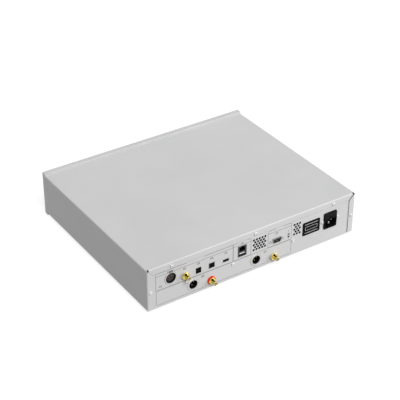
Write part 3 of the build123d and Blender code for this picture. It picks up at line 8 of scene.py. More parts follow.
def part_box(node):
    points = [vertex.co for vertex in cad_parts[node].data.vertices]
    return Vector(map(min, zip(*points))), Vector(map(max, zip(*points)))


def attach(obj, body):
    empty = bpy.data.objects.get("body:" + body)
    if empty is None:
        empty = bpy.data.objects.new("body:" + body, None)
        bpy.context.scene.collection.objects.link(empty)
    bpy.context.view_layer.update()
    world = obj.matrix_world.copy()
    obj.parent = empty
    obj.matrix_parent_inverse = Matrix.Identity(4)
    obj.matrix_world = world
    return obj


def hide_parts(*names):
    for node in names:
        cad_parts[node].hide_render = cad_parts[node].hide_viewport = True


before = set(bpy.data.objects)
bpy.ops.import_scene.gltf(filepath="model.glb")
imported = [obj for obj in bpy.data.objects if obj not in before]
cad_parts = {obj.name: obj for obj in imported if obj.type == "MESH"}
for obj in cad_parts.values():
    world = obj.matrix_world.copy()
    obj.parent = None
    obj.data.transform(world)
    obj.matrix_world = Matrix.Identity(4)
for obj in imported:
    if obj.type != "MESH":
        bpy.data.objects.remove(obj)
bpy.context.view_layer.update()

# Cover: top, sides and rear lips folded from one 1.2 mm steel sheet and powder coated in pale
# silver, which leaves a very fine orange peel and a few cloudier patches. Shade is painted near
# black on the sheared inner edges of the side lips and in the relief holes in the rear corners.


def finish(name, dark, light, rough, metal=0.0, cloud=40.0, fine=2500.0, depth=0.0,
           stretch=(1.0, 1.0, 1.0), bevel=0.0, spread=0.06, sheen=0.5):
    """A finish on Object coordinates. Its colour wanders from dark to light with noise of `cloud`
    waves a metre, its roughness by `spread` with the same noise, and its height with noise of
    `fine` waves a metre, `depth` metres high. `stretch` draws both noises out along an axis,
    `bevel` is the radius that edges are shaded with, and `sheen` is how strongly a surface that
    isn't metal mirrors."""
    mat = bpy.data.materials.new(name)
    mat.use_nodes = True
    nodes, links = mat.node_tree.nodes, mat.node_tree.links
    shader = nodes["Principled BSDF"]
    shader.inputs["Metallic"].default_value = metal
    shader.inputs["Specular IOR Level"].default_value = sheen
    where = nodes.new("ShaderNodeTexCoord")
    drawn = nodes.new("ShaderNodeMapping")
    drawn.inputs["Scale"].default_value = stretch
    links.new(where.outputs["Object"], drawn.inputs["Vector"])
    wander = nodes.new("ShaderNodeTexNoise")
    wander.inputs["Scale"].default_value = cloud
    wander.inputs["Detail"].default_value = 4.0
    links.new(drawn.outputs["Vector"], wander.inputs["Vector"])
    ramp = nodes.new("ShaderNodeValToRGB")
    # nearly all of the noise lies between 0.3 and 0.7
    for element, place, colour in zip(ramp.color_ramp.elements, (0.3, 0.7), (dark, light)):
        element.position = place
        element.color = (*colour, 1.0)
    links.new(wander.outputs["Fac"], ramp.inputs["Fac"])
    links.new(ramp.outputs["Color"], shader.inputs["Base Color"])
    gloss = nodes.new("ShaderNodeMapRange")
    gloss.inputs["To Min"].default_value = max(rough - spread, 0.03)
    gloss.inputs["To Max"].default_value = rough + spread
    links.new(wander.outputs["Fac"], gloss.inputs["Value"])
    links.new(gloss.outputs["Result"], shader.inputs["Roughness"])
    rise = nodes.new("ShaderNodeTexNoise")
    rise.inputs["Scale"].default_value = fine
    rise.inputs["Detail"].default_value = 2.0
    links.new(drawn.outputs["Vector"], rise.inputs["Vector"])
    bump = nodes.new("ShaderNodeBump")
    bump.inputs["Strength"].default_value = 1.0
    bump.inputs["Distance"].default_value = depth
    links.new(rise.outputs["Fac"], bump.inputs["Height"])
    if bevel:
        soft = nodes.new("ShaderNodeBevel")
        soft.samples = 4
        soft.inputs["Radius"].default_value = bevel
        links.new(soft.outputs["Normal"], bump.inputs["Normal"])
    links.new(bump.outputs["Normal"], shader.inputs["Normal"])
    return mat


def dress(mat, *names):
    """Puts a finish on the material slots of CAD nodes."""
    for name in names:
        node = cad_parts[name]
        if not node.material_slots:
            node.data.materials.append(mat)
        for slot in node.material_slots:
            slot.material = mat


def coated(name):
    """The powder coat, which the cover, the rear panel and the tray have."""
    return finish(name, (0.590, 0.590, 0.594), (0.625, 0.625, 0.628), 0.42, cloud=9.0,
                  fine=1800.0, depth=0.00001, bevel=0.0003, sheen=0.4)


def paint_shade_where(mat, test, colour):
    """Paints shade: where test(sum_of, x, y, z) gives a socket that is 1, the finish gives way to
    the colour, a dark one that stands for shade, with no metal. x, y and z are the sockets of the
    Object coordinates, and sum_of makes one step of the test's arithmetic from sockets and
    numbers."""
    nodes, links = mat.node_tree.nodes, mat.node_tree.links
    split = nodes.new("ShaderNodeSeparateXYZ")
    links.new(nodes["Texture Coordinate"].outputs["Object"], split.inputs[0])

    def sum_of(kind, a, b=None, c=None):
        step = nodes.new("ShaderNodeMath")
        step.operation = kind
        for socket, value in zip(step.inputs, (a, b, c)):
            if value is None:
                continue
            if isinstance(value, float):
                socket.default_value = value
            else:
                links.new(value, socket)
        return step.outputs[0]

    in_shade = test(sum_of, *split.outputs)
    mixed = nodes.new("ShaderNodeMix")
    mixed.data_type = "RGBA"
    links.new(in_shade, mixed.inputs["Factor"])
    finish_colour, shade_colour = mixed.inputs[6], mixed.inputs[7]
    links.new(nodes["Color Ramp"].outputs["Color"], finish_colour)
    shade_colour.default_value = (*colour, 1.0)
    shader = nodes["Principled BSDF"]
    links.new(mixed.outputs[2], shader.inputs["Base Color"])
    kept = nodes.new("ShaderNodeMapRange")
    kept.inputs["To Min"].default_value = shader.inputs["Metallic"].default_value
    kept.inputs["To Max"].default_value = 0.0
    links.new(in_shade, kept.inputs["Value"])
    links.new(kept.outputs["Result"], shader.inputs["Metallic"])


def near_axis(sum_of, x, z, axis_x, axis_z, radius):
    """1 closer than the radius to an axis along Y: where the squares of the distances across and
    up add up to less than the radius squared."""
    across, up = sum_of("SUBTRACT", x, axis_x), sum_of("SUBTRACT", z, axis_z)
    apart = sum_of("ADD", sum_of("MULTIPLY", across, across), sum_of("MULTIPLY", up, up))
    return sum_of("LESS_THAN", apart, radius ** 2)


wall = float(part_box("rear_panel")[1][1])  # outer face of the rear panel and of the top lip
lip_front = float(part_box("cover")[1][1])  # outer face of the side lips, which lap over the panel
relief_x, relief_z, relief_radius, relief_depth = 0.2130, 0.0863, 0.00179, 0.00325
lip_edge, mitre_shift, face_margin = 0.20403, 0.12853, 0.00005


def painted_shade_on_cover(sum_of, x, y, z):
    """1 where shade is painted: in the relief holes, to their depth behind the lips' front, and on
    the sheared inner edges of the side lips, between the rear panel's plane and the coated front.
    An edge runs up at |x| = 204 mm and then out along the mitre at 45 degrees, where |x| is
    z + 128.5 mm, as far as the hole's axis."""
    out = sum_of("ABSOLUTE", x)
    edge_x = sum_of("MAXIMUM", sum_of("ADD", z, mitre_shift), lip_edge)
    edge_x = sum_of("MINIMUM", edge_x, relief_x)
    edge = sum_of("LESS_THAN", out, edge_x)
    off_wall = sum_of("GREATER_THAN", y, wall + face_margin)
    behind_lip_face = sum_of("LESS_THAN", y, lip_front - face_margin)
    edge = sum_of("MULTIPLY", edge, sum_of("MULTIPLY", off_wall, behind_lip_face))
    hole = sum_of("MULTIPLY", near_axis(sum_of, out, z, relief_x, relief_z, relief_radius),
                  sum_of("GREATER_THAN", y, lip_front - relief_depth))
    return sum_of("MAXIMUM", edge, hole)


cover_coat = coated("cover_coat")
# painted shade, near black, in the relief holes and on the side lips' inner edges
paint_shade_where(cover_coat, painted_shade_on_cover, (0.020, 0.020, 0.020))
dress(cover_coat, "cover")

# Rear panel: flat steel sheet behind the cover's side lips, punched with its openings and two
# groups of vent holes, and coated on its outer face. Shade is painted near black on its back, on
# the walls of its openings and on a narrow rim round each vent hole.
vent_centres, vent_columns, vent_rows = ((-0.00899, 0.05751), (-0.08934, 0.05751)), (5, 3), 5
vent_across, vent_up, vent_shade_radius = 0.0060, 0.00495, 0.00228


def painted_shade_on_panel(sum_of, x, y, z):
    """1 where shade is painted: on the sheared edges and the back of the rear panel, behind its
    outer face, and on the rims of the vent holes. The holes' rows are staggered: x and z are
    wrapped into two lattices, one half a step from the other, and the rim is closer than
    vent_shade_radius to a point of one of them, in the area that the rows take up."""
    panel_shade = sum_of("LESS_THAN", y, wall - 0.00004)
    half = vent_across / 2
    for (middle_x, middle_z), columns in zip(vent_centres, vent_columns):
        from_x, from_z = sum_of("SUBTRACT", x, middle_x), sum_of("SUBTRACT", z, middle_z)
        for step in (0.0, 1.0):
            u = sum_of("WRAP", sum_of("SUBTRACT", from_x, step * half), half, -half)
            v = sum_of("WRAP", sum_of("SUBTRACT", from_z, step * vent_up), vent_up, -vent_up)
            wide = sum_of("LESS_THAN", sum_of("ABSOLUTE", from_x), (columns - step) * half)
            tall = sum_of("LESS_THAN", sum_of("ABSOLUTE", from_z), vent_rows * vent_up / 2)
            near = near_axis(sum_of, u, v, 0.0, 0.0, vent_shade_radius)
            panel_shade = sum_of("MAXIMUM", panel_shade,
                          sum_of("MULTIPLY", near, sum_of("MULTIPLY", wide, tall)))
    return panel_shade


panel_coat = coated("panel_coat")
# painted shade, near black, behind the panel's face and on a rim round each vent hole
paint_shade_where(panel_coat, painted_shade_on_panel, (0.010, 0.010, 0.010))
dress(panel_coat, "rear_panel")

# Base tray: a plate of steel sheet with three upturned edges and rows of punched vent slots. It is
# coated all over like the cover, whose bottom lips are screwed to it.
dress(coated("tray_coat"), "base_tray")

# Inner steel: the rail behind the cover's top lip, welded to the rear panel by its tabs, and the
# sub-panel behind the fascia. Both are bent from plain galvanised sheet, whose zinc shows as soft
# grey patches.
zinc = finish("zinc", (0.36, 0.37, 0.38), (0.52, 0.53, 0.54), 0.42, metal=0.85, cloud=260.0,
              fine=900.0, depth=0.00002, bevel=0.0002)
dress(zinc, "rear_rail", "front_subpanel")

# Fascia: a thick aluminium plate with openings for the display, the lens and the buttons, blasted
# with fine glass beads and anodised in silver. Screws hold it from behind, through the sub-panel.
blasted = finish("blasted_aluminium", (0.585, 0.585, 0.589), (0.625, 0.625, 0.629), 0.48,
                 metal=0.12, cloud=30.0, fine=5200.0, depth=0.000006, bevel=0.0004, sheen=0.3)
dress(blasted, "fascia")

# Buttons: aluminium caps turned on a lathe, which leaves fine rings on their ends, and anodised.
# A flange inside the fascia keeps each in its hole, and a stem reaches its switch.


def turned_finish(name, colour, centre, rings, rough):
    """Metal turned on a lathe: rings about the axis along Y through `centre`, as the sine of the
    distance from it. Its colour wanders between `colour` and one 6% lighter."""
    mat = finish(name, colour, tuple(1.06 * c for c in colour), rough, metal=0.8, cloud=60.0,
                 fine=4000.0, depth=0.000004)
    nodes, links = mat.node_tree.nodes, mat.node_tree.links
    placed = nodes.new("ShaderNodeMapping")
    placed.inputs["Location"].default_value = (-centre[0], -centre[1], -centre[2])
    links.new(nodes["Texture Coordinate"].outputs["Object"], placed.inputs["Vector"])
    wave = nodes.new("ShaderNodeTexWave")
    wave.wave_type = "RINGS"
    wave.rings_direction = "Y"
    wave.inputs["Scale"].default_value = rings
    wave.inputs["Distortion"].default_value = 0.3
    links.new(placed.outputs["Vector"], wave.inputs["Vector"])
    groove = nodes.new("ShaderNodeBump")
    groove.inputs["Strength"].default_value = 0.6
    groove.inputs["Distance"].default_value = 0.00001
    links.new(wave.outputs["Fac"], groove.inputs["Height"])
    links.new(nodes["Bump"].outputs["Normal"], groove.inputs["Normal"])
    links.new(groove.outputs["Normal"], nodes["Principled BSDF"].inputs["Normal"])
    return mat


for button in ("power_button", "menu_button", "back_button", "previous_button", "next_button"):
    low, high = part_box(button)
    dress(turned_finish("turned_" + button, (0.58, 0.58, 0.585), (low + high) / 2, 900.0, 0.3),
          button)

# Display: a window of smoked acrylic, cut, polished and let into the front of the fascia. A dark
# glass module with a frame stands between it and the control board.
acrylic = finish("smoked_acrylic", (0.012, 0.012, 0.014), (0.018, 0.018, 0.02), 0.06, cloud=20.0,
                 fine=60.0, depth=0.000002, spread=0.02)
acrylic.node_tree.nodes["Principled BSDF"].inputs["Coat Weight"].default_value = 0.5
dress(acrylic, "display_window")
dark_glass = finish("module_glass", (0.008, 0.010, 0.014), (0.014, 0.016, 0.02), 0.12,
                    cloud=300.0, fine=1200.0, depth=0.000004, spread=0.03)
dress(dark_glass, "display_module")

# Infrared window: a small lens of dark red plastic, moulded and polished, which its flange holds
# in the fascia.
lens_red = finish("infrared_lens", (0.020, 0.004, 0.006), (0.034, 0.008, 0.010), 0.12,
                  cloud=200.0, fine=900.0, depth=0.000003, spread=0.03)
dress(lens_red, "infrared_window")

# Screws: cold-headed steel with pan heads and cross recesses, plated in bright nickel. They hold
# the cover's rear lips, the rear panel, the tray, the fascia and the mains inlet.
nickel = finish("nickel", (0.62, 0.62, 0.62), (0.74, 0.74, 0.74), 0.30, metal=1.0, cloud=700.0,
                fine=2600.0, depth=0.000006, bevel=0.0002)
dress(nickel, "rear_screws", "base_screws", "fascia_screws", "inlet_screws")

# Feet: discs of moulded black plastic with a spark-eroded texture, each fixed under the tray by a
# sunk screw and shod with a ring of soft rubber.
moulded = finish("moulded_black", (0.004, 0.004, 0.004), (0.008, 0.008, 0.008), 0.5, cloud=500.0,
                 fine=3000.0, depth=0.00002, bevel=0.0003, sheen=0.05)
dress(moulded, "feet")
rubber = finish("rubber", (0.018, 0.018, 0.018), (0.030, 0.030, 0.030), 0.78, cloud=900.0,
                fine=2200.0, depth=0.00003, bevel=0.0004)
dress(rubber, "foot_pads")

# Balanced input: a die-cast shell plated in satin nickel, round a black moulded core that carries
# three copper contacts. In the lug above the mouth sits a sprung latch of dull grey metal.


def satin_finish(name):
    """Satin nickel on a die casting or a drawn shell."""
    return finish(name, (0.45, 0.45, 0.45), (0.54, 0.54, 0.54), 0.50, metal=1.0, cloud=500.0,
                  fine=3500.0, depth=0.00001, bevel=0.0003)


def within_rounds(axes, radius):
    """A test that is 1 closer than radius to any of the axes, which run along Y through x and z:
    it takes the largest of the single tests."""
    def test(sum_of, x, y, z):
        inside = near_axis(sum_of, x, z, *axes[0], radius)
        for axis in axes[1:]:
            inside = sum_of("MAXIMUM", inside, near_axis(sum_of, x, z, *axis, radius))
        return inside
    return test


def middle(name):
    """x and z of the middle of a CAD node's box."""
    low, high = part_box(name)
    return float(low[0] + high[0]) / 2, float(low[2] + high[2]) / 2


dark_inside = (0.003, 0.003, 0.003)  # the walls of a socket's mouth, where little light reaches
input_shell = satin_finish("satin_input_shell")
# painted shade on the walls of the shell's mouth
paint_shade_where(input_shell, within_rounds([middle("xlr_input_insert")], 0.00985), dark_inside)
dress(input_shell, "xlr_input_shell")
core_black = finish("core_black", (0.022, 0.020, 0.020), (0.034, 0.031, 0.031), 0.5, cloud=500.0,
                    fine=3000.0, depth=0.00002, bevel=0.0003, sheen=0.2)
dress(core_black, "xlr_input_insert")
copper = finish("dull_copper", (0.58, 0.32, 0.25), (0.70, 0.42, 0.33), 0.4, metal=1.0,
                cloud=900.0, fine=3000.0, depth=0.000004, spread=0.04)
dress(copper, "xlr_input_contacts")
latch_grey = finish("latch_grey", (0.13, 0.13, 0.13), (0.19, 0.19, 0.19), 0.4, metal=0.8,
                    cloud=600.0, fine=2500.0, depth=0.00001, bevel=0.0003, sheen=0.3)
dress(latch_grey, "xlr_latch")

# Balanced outputs: two die-cast shells plated in satin nickel, each round a black moulded cup and
# three turned pins with rounded ends, plated in gold that is painted dark as shade deep in the
# cup.


def grid_mesh(name, grids, mat, closed=False, sharp=35.0):
    """Joins grids of points into one object. A grid's rows follow each other along a path and each
    row runs once round it, so points i, j and i, j + 1 lie side by side and the last joins the
    first. The ends are capped, or with `closed` the last row joins the first row."""
    points, faces, start = [], [], 0
    for grid in grids:
        grid = np.asarray(grid, float)
        rows, across = grid.shape[:2]
        i, j = np.meshgrid(np.arange(rows if closed else rows - 1), np.arange(across),
                           indexing="ij")
        below, beside = (i + 1) % rows, (j + 1) % across
        quads = np.stack([i * across + j, below * across + j, below * across + beside,
                          i * across + beside], -1).reshape(-1, 4) + start
        faces += quads.tolist()
        if not closed:
            last = start + (rows - 1) * across
            faces.append(list(range(start, start + across)))
            faces.append(list(range(last + across - 1, last - 1, -1)))
        points.append(grid.reshape(-1, 3))
        start += rows * across
    mesh = bpy.data.meshes.new(name)
    mesh.from_pydata(np.concatenate(points).tolist(), [], faces)
    mesh.polygons.foreach_set("use_smooth", [True] * len(mesh.polygons))
    mesh.set_sharp_from_angle(angle=math.radians(sharp))
    mesh.materials.append(mat)
    mesh.update()
    piece = bpy.data.objects.new(name, mesh)
    bpy.context.scene.collection.objects.link(piece)
    return piece


def round_rows(x, z, depth, radius, across):
    """Points about the axis along Y through x and z: row i lies at depth i, and its point j lies
    at the radius i, j and the angle that is j steps of the full turn divided by `across`."""
    angle = np.arange(across) * 2 * math.pi / across
    return np.stack([x + radius * np.cos(angle), np.repeat(depth[:, None], across, 1),
                     z + radius * np.sin(angle)], -1)


def round_grid(profile, x, z, across=64):
    """A turned form: each row is a circle, at the depth and of the radius that the profile
    gives."""
    depth, radius = np.array(profile, float).T
    return round_rows(x, z, depth, np.repeat(radius[:, None], across, 1), across)


low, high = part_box("xlr_output_pins")
pin_radius, pin_flat, pin_circle = 0.0012, 0.0003, 0.0040
pin_round = pin_radius - pin_flat
pin_out = pin_circle * math.cos(math.radians(30))  # from the socket's axis to an upper pin's
output_z = float(high[2]) - pin_radius - pin_circle / 2
output_axes = [(float(high[0]) - pin_radius - pin_out, output_z),
               (float(low[0]) + pin_radius + pin_out, output_z)]
pin_axes = [(x + pin_circle * math.cos(math.radians(turn)),
             z + pin_circle * math.sin(math.radians(turn)))
            for x, z in output_axes for turn in (30, 150, 270)]
pin = [(low[1], pin_radius)]
pin += [(high[1] - pin_round * (1 - math.sin(a)), pin_flat + pin_round * math.cos(a))
        for a in np.linspace(0, math.pi / 2, 6)]
# gold painted dark, as shade on pins and contacts deep in their mouths
shaded_gold = finish("gold_painted_shade", (0.26, 0.21, 0.11), (0.36, 0.30, 0.16), 0.35, metal=1.0,
                   cloud=900.0, fine=3000.0, depth=0.000004, spread=0.04)
turned_pins = grid_mesh("xlr_output_pins_turned", [round_grid(pin, x, z, 24) for x, z in pin_axes],
                        shaded_gold)
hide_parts("xlr_output_pins")
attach(turned_pins, "case")
output_shell = satin_finish("satin_output_shells")
# painted shade on the walls of the shells' mouths
paint_shade_where(output_shell, within_rounds(output_axes, 0.00820), dark_inside)
dress(output_shell, "xlr_output_shells")
dress(moulded, "xlr_output_inserts")

# RCA sockets: barrel and thread turned from one brass bar and plated in gold, a hexagon nut of the
# same, and a coloured moulded ring between nut and panel. A keyway runs along each barrel with a
# black piece in it as painted shade, and a pale insulator holds the contact in its mouth.
ring_radius, ring_bore, ring_neck, ring_rim = 0.0078, 0.00495, 0.0056, 0.0005
ring_front, nut_front, tip = wall + 0.0020, wall + 0.0044, wall + 0.0142
low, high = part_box("rca_rings_white")
coax_axis = (high[0] - ring_radius, high[2] - ring_radius)
left_axis = (low[0] + ring_radius, low[2] + ring_radius)
red_axis = middle("rca_ring_red")
rca_axes = [coax_axis, red_axis, left_axis]
gold = finish("gold_plate", (0.42, 0.29, 0.03), (0.98, 0.82, 0.25), 0.15, metal=1.0, cloud=300.0,
              fine=2500.0, depth=0.000004, spread=0.03)

# the barrel's depths and radii: tail, washer behind the panel, thread, sleeve, tip and bore
tail_end, washer_back, panel_back = wall - 0.0142, wall - 0.0037, wall - 0.0012
thread_end, sleeve_start, bore_depth = wall + 0.0056, wall + 0.0061, 0.0090
tail_radius, washer_radius, neck_radius = 0.0036, 0.0070, 0.0049
thread_radius, thread_swing, thread_pitch = 0.00478, 0.00012, 0.00075
sleeve_radius, bore_radius, tip_round, mouth_round = 0.00415, 0.0034, 0.0005, 0.00015
keyway_end = tip - 0.0013

# the thread's radius goes up and down with the depth, once in every pitch
swing = np.linspace(0, math.pi / 2, 7)
barrel = [(tail_end, bore_radius), (tail_end + 0.0002, tail_radius), (washer_back, tail_radius),
          (washer_back, washer_radius), (panel_back, washer_radius), (panel_back, neck_radius)]
barrel += [(y, thread_radius + thread_swing * math.cos(2 * math.pi * (y - panel_back)
                                                       / thread_pitch))
           for y in np.linspace(panel_back, thread_end, 82)]
barrel += [(thread_end + 0.0002, 0.0046), (sleeve_start, sleeve_radius),
           (keyway_end - 0.00002, sleeve_radius), (keyway_end, sleeve_radius)]
barrel += [(tip - tip_round * (1 - math.sin(a)), sleeve_radius - tip_round * (1 - math.cos(a)))
           for a in swing]
barrel += [(tip - mouth_round * (1 - math.cos(a)),
            bore_radius + mouth_round * (1 - math.sin(a))) for a in swing]
barrel += [(tip - bore_depth, bore_radius)]
key_angle, keyway_half, keyway_radius = math.radians(74), 0.0012, 0.00375


def keyed_grid(x, z, across=96):
    """The barrel with its keyway: where the arc to the key's angle is shorter than keyway_half, in
    front of the nut and behind the tip, the radius is at most keyway_radius."""
    depth, radius = np.array(barrel, float).T
    angle = np.arange(across) * 2 * math.pi / across
    arc = np.abs((angle - key_angle + math.pi) % (2 * math.pi) - math.pi) * sleeve_radius
    keyed = (depth > nut_front) & (depth < keyway_end - 0.00001) & (radius > 0.0038)
    in_key = keyed[:, None] & (arc < keyway_half)[None, :]
    return round_rows(x, z, depth, np.where(in_key, keyway_radius, radius[:, None]), across)


barrels = grid_mesh("rca_barrels_turned", [keyed_grid(x, z) for x, z in rca_axes], gold)
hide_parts("rca_barrels")
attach(barrels, "case")

# the painted shade's sections in the keyway: depth, half its width round the sleeve, and outer
# radius
shade_sections = ((wall + 0.0036, 0.0020, 0.0053), (wall + 0.0066, 0.0020, 0.0053),
                (wall + 0.0070, 0.0018, 0.0050), (wall + 0.0071, 0.0008, 0.00392),
                (tip - 0.0014, 0.0008, 0.00392))
shade_inner = 0.0036


def keyway_shade_grid(x, z):
    """A black piece in the keyway, which stands for the shade there: each row is an arc at its
    outer radius and back at its inner one. It is broad and high where it leaves the nut and then a
    low, narrow rib."""
    rows = []
    for depth, half, outer in shade_sections:
        arc = np.linspace(-half, half, 7) / sleeve_radius
        angle = key_angle + np.concatenate([arc, arc[::-1]])
        radius = np.repeat([outer, shade_inner], 7)
        rows.append(np.stack([x + radius * np.cos(angle), np.full(14, depth),
                              z + radius * np.sin(angle)], 1))
    return np.stack(rows)


# painted shade: black pieces in the keyways
keyway_shades = grid_mesh("rca_keyway_shade", [keyway_shade_grid(x, z) for x, z in rca_axes], moulded)
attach(keyway_shades, "case")


def nut_grid(x, z, low, high, flats, bore, across=96):
    """A hexagon nut about the axis along Y: at each angle and depth its radius is the smaller of
    the hexagon's and a 30 degree cone's, and then it runs back through the bore."""
    angle = np.arange(across) * 2 * math.pi / across
    hexagon = flats / 2 / np.cos((angle % (math.pi / 3)) - math.pi / 6)
    slope, back_cone, front_cone, mouth = 1.73, 0.975 * flats / 2, 0.93 * flats / 2, 0.0003
    rows = [(depth, np.minimum(hexagon, back_cone + (depth - low) * slope))
            for depth in np.linspace(low, low + 0.0006, 6)]
    rows += [(depth, np.minimum(hexagon, front_cone + (high - depth) * slope))
             for depth in np.linspace(high - 0.0008, high, 8)]
    rows += [(depth, np.full(across, radius))
             for depth, radius in ((high, bore + mouth), (high - mouth, bore), (low, bore))]
    depths, radii = zip(*rows)
    return round_rows(x, z, np.array(depths), np.array(radii), across)


nuts = grid_mesh("rca_nuts_hexagon", [nut_grid(x, z, ring_front, nut_front, 0.012, ring_bore)
                                      for x, z in rca_axes], gold, closed=True)
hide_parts("rca_nuts")
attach(nuts, "case")

# a coloured ring's section: neck in the panel's hole, flat back, rounded rim, flat front
ring_profile = [(panel_back, ring_bore), (panel_back, ring_neck), (wall, ring_neck),
                (wall, ring_radius)]
ring_profile += [(ring_front - ring_rim * (1 - math.sin(a)),
                  ring_radius - ring_rim * (1 - math.cos(a))) for a in swing]
ring_profile += [(ring_front, ring_bore)]
ring_red = finish("moulded_red", (0.66, 0.003, 0.004), (0.78, 0.006, 0.006), 0.32, cloud=300.0,
                  fine=2500.0, depth=0.000008, sheen=0.3)
ring_white = finish("moulded_white", (0.50, 0.50, 0.49), (0.57, 0.57, 0.56), 0.4, cloud=300.0,
                    fine=2500.0, depth=0.000008, sheen=0.3)
red = grid_mesh("rca_ring_red_moulded", [round_grid(ring_profile, *red_axis)], ring_red,
                closed=True)
white = grid_mesh("rca_rings_white_moulded", [round_grid(ring_profile, *coax_axis),
                                              round_grid(ring_profile, *left_axis)],
                  ring_white, closed=True)
for ring, node, slot in ((red, "rca_ring_red", "ring_red"),
                         (white, "rca_rings_white", "ring_white")):
    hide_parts(node)
    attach(ring, "case")
insulator = finish("insulator", (0.34, 0.33, 0.31), (0.42, 0.41, 0.38), 0.5, cloud=500.0,
                   fine=2500.0, depth=0.000008, bevel=0.0002, sheen=0.3)
dress(insulator, "rca_insulators")

# Optical input: a black moulded housing with a square mouth, which a small moulded shutter closes.
# It swings inward on two pivots when a plug pushes it.
dress(moulded, "optical_housing", "optical_shutter")

# Network and USB ports: shells drawn from thin nickel-plated steel. The network socket is a metal
# box with a dark moulded insert that holds two mouths, one above the other. The tongue in its
# lower mouth is moulded in white, the others in black, and each carries gold contacts.


def block_grid(x, z, width, height, low, high, soft):
    """A bar along Y of rectangular section, its corners cut by `soft` and its outer end drawn in
    by it."""
    w, h = width / 2, height / 2
    corner = np.array([(w, -h + soft), (w, h - soft), (w - soft, h), (-w + soft, h),
                       (-w, h - soft), (-w, -h + soft), (-w + soft, -h), (w - soft, -h)])
    rows = []
    for depth, shrink in ((low, 1.0), (high - soft, 1.0), (high, 1.0 - soft / min(w, h))):
        rows.append(np.stack([x + corner[:, 0] * shrink, np.full(8, depth),
                              z + corner[:, 1] * shrink], 1))
    return np.stack(rows)


network_x, network_z = middle("network_shell")
usb_b_x, usb_b_z = middle("usb_b_shell")
usb_a_x, usb_a_z = middle("usb_a_shell")
mouth_z, contact_z, board_z = network_z - 0.00475, network_z + 0.0073, usb_a_z + 0.00145
tongue_soft = 0.00015
tongue = finish("tongue_white", (0.74, 0.74, 0.73), (0.84, 0.84, 0.83), 0.4, cloud=600.0,
                fine=3000.0, depth=0.00001, bevel=0.0001)
white_tongue = grid_mesh("network_tongue", [
    block_grid(network_x, mouth_z, 0.0105, 0.0019, wall - 0.0138, wall - 0.0002, tongue_soft)
], tongue, sharp=20)
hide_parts("usb_tongues")
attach(white_tongue, "case")
dark_tongues = grid_mesh("usb_dark_tongues", [
    block_grid(usb_a_x, board_z, 0.0104, 0.0019, wall - 0.0132, wall - 0.0012, tongue_soft),
    block_grid(usb_b_x, usb_b_z, 0.0057, 0.0032, wall - 0.0152, wall - 0.0012, tongue_soft)
], moulded, sharp=20)
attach(dark_tongues, "case")

# eight wires in the network socket, four strips under each flat tongue, two above and two below
# the square one
network_pitch, flat_pitch, square_pitch = 0.00102, 0.0025, 0.0026
strip_height, strip_soft = 0.00014, 0.00005
contacts = [block_grid(network_x + network_pitch * (k - 3.5), contact_z, 0.00045, 0.0003,
                       wall - 0.0117, wall - 0.0025, 0.0001) for k in range(8)]
contacts += [block_grid(x + flat_pitch * (k - 1.5), z - 0.00100, 0.0011, strip_height,
                        wall - 0.0112, wall - 0.0022, strip_soft)
             for x, z in ((usb_a_x, board_z), (network_x, mouth_z)) for k in range(4)]
contacts += [block_grid(usb_b_x + square_pitch * u, usb_b_z + 0.00165 * v, 0.0009, strip_height,
                        wall - 0.0112, wall - 0.0019, strip_soft)
             for u in (-0.5, 0.5) for v in (-1, 1)]
# the contacts' gold is painted dark as shade in the mouths
strips = grid_mesh("port_contacts", contacts, shaded_gold, sharp=20)
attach(strips, "case")


def deeper_than(face, depth):
    """A test that is 1 on the walls of a mouth deeper than `depth` behind its face, where little
    light reaches."""
    def test(sum_of, x, y, z):
        return sum_of("LESS_THAN", y, face - depth)
    return test


shell_nickel = satin_finish("shell_nickel")
# painted shade, near black, on the shells' walls deeper than 0.3 mm inside the mouths
paint_shade_where(shell_nickel, deeper_than(wall, 0.0003), (0.004, 0.004, 0.004))
dress(shell_nickel, "usb_a_shell", "usb_b_shell")
jack_steel = finish("jack_steel", (0.14, 0.14, 0.14), (0.20, 0.20, 0.20), 0.4, metal=0.8,
                    cloud=400.0, fine=2600.0, depth=0.00001, bevel=0.0002, sheen=0.2)
dress(jack_steel, "network_shell")
jack_grey = finish("jack_grey", (0.050, 0.050, 0.050), (0.075, 0.075, 0.075), 0.5, cloud=400.0,
                   fine=2600.0, depth=0.00001, bevel=0.0002, sheen=0.15)
jack_face = float(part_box("network_insert")[1][1])
# painted shade, near black, deeper than 0.5 mm inside the insert's mouths
paint_shade_where(jack_grey, deeper_than(jack_face, 0.0005), (0.002, 0.002, 0.002))
dress(jack_grey, "network_insert")

# Serial port: a drawn steel shell round a black moulded insert with nine turned pins, held in the
# panel by two hexagon jackposts in satin nickel.
port_steel = finish("port_steel", (0.26, 0.26, 0.26), (0.34, 0.34, 0.34), 0.38, metal=1.0,
                    cloud=500.0, fine=3500.0, depth=0.00001, bevel=0.0002)
dress(port_steel, "serial_shell", "serial_pins")
dress(moulded, "serial_insert")
satin = satin_finish("satin_nickel")
dress(satin, "serial_jackposts")

# Slide switch: a black moulded body behind the panel, whose grey moulded lever comes through a
# slot and snaps up or down.
dress(moulded, "slide_switch_body")
lever_grey = finish("lever_grey", (0.42, 0.42, 0.41), (0.50, 0.50, 0.49), 0.4, cloud=600.0,
                    fine=2500.0, depth=0.00001, bevel=0.0003)
dress(lever_grey, "slide_switch_lever")

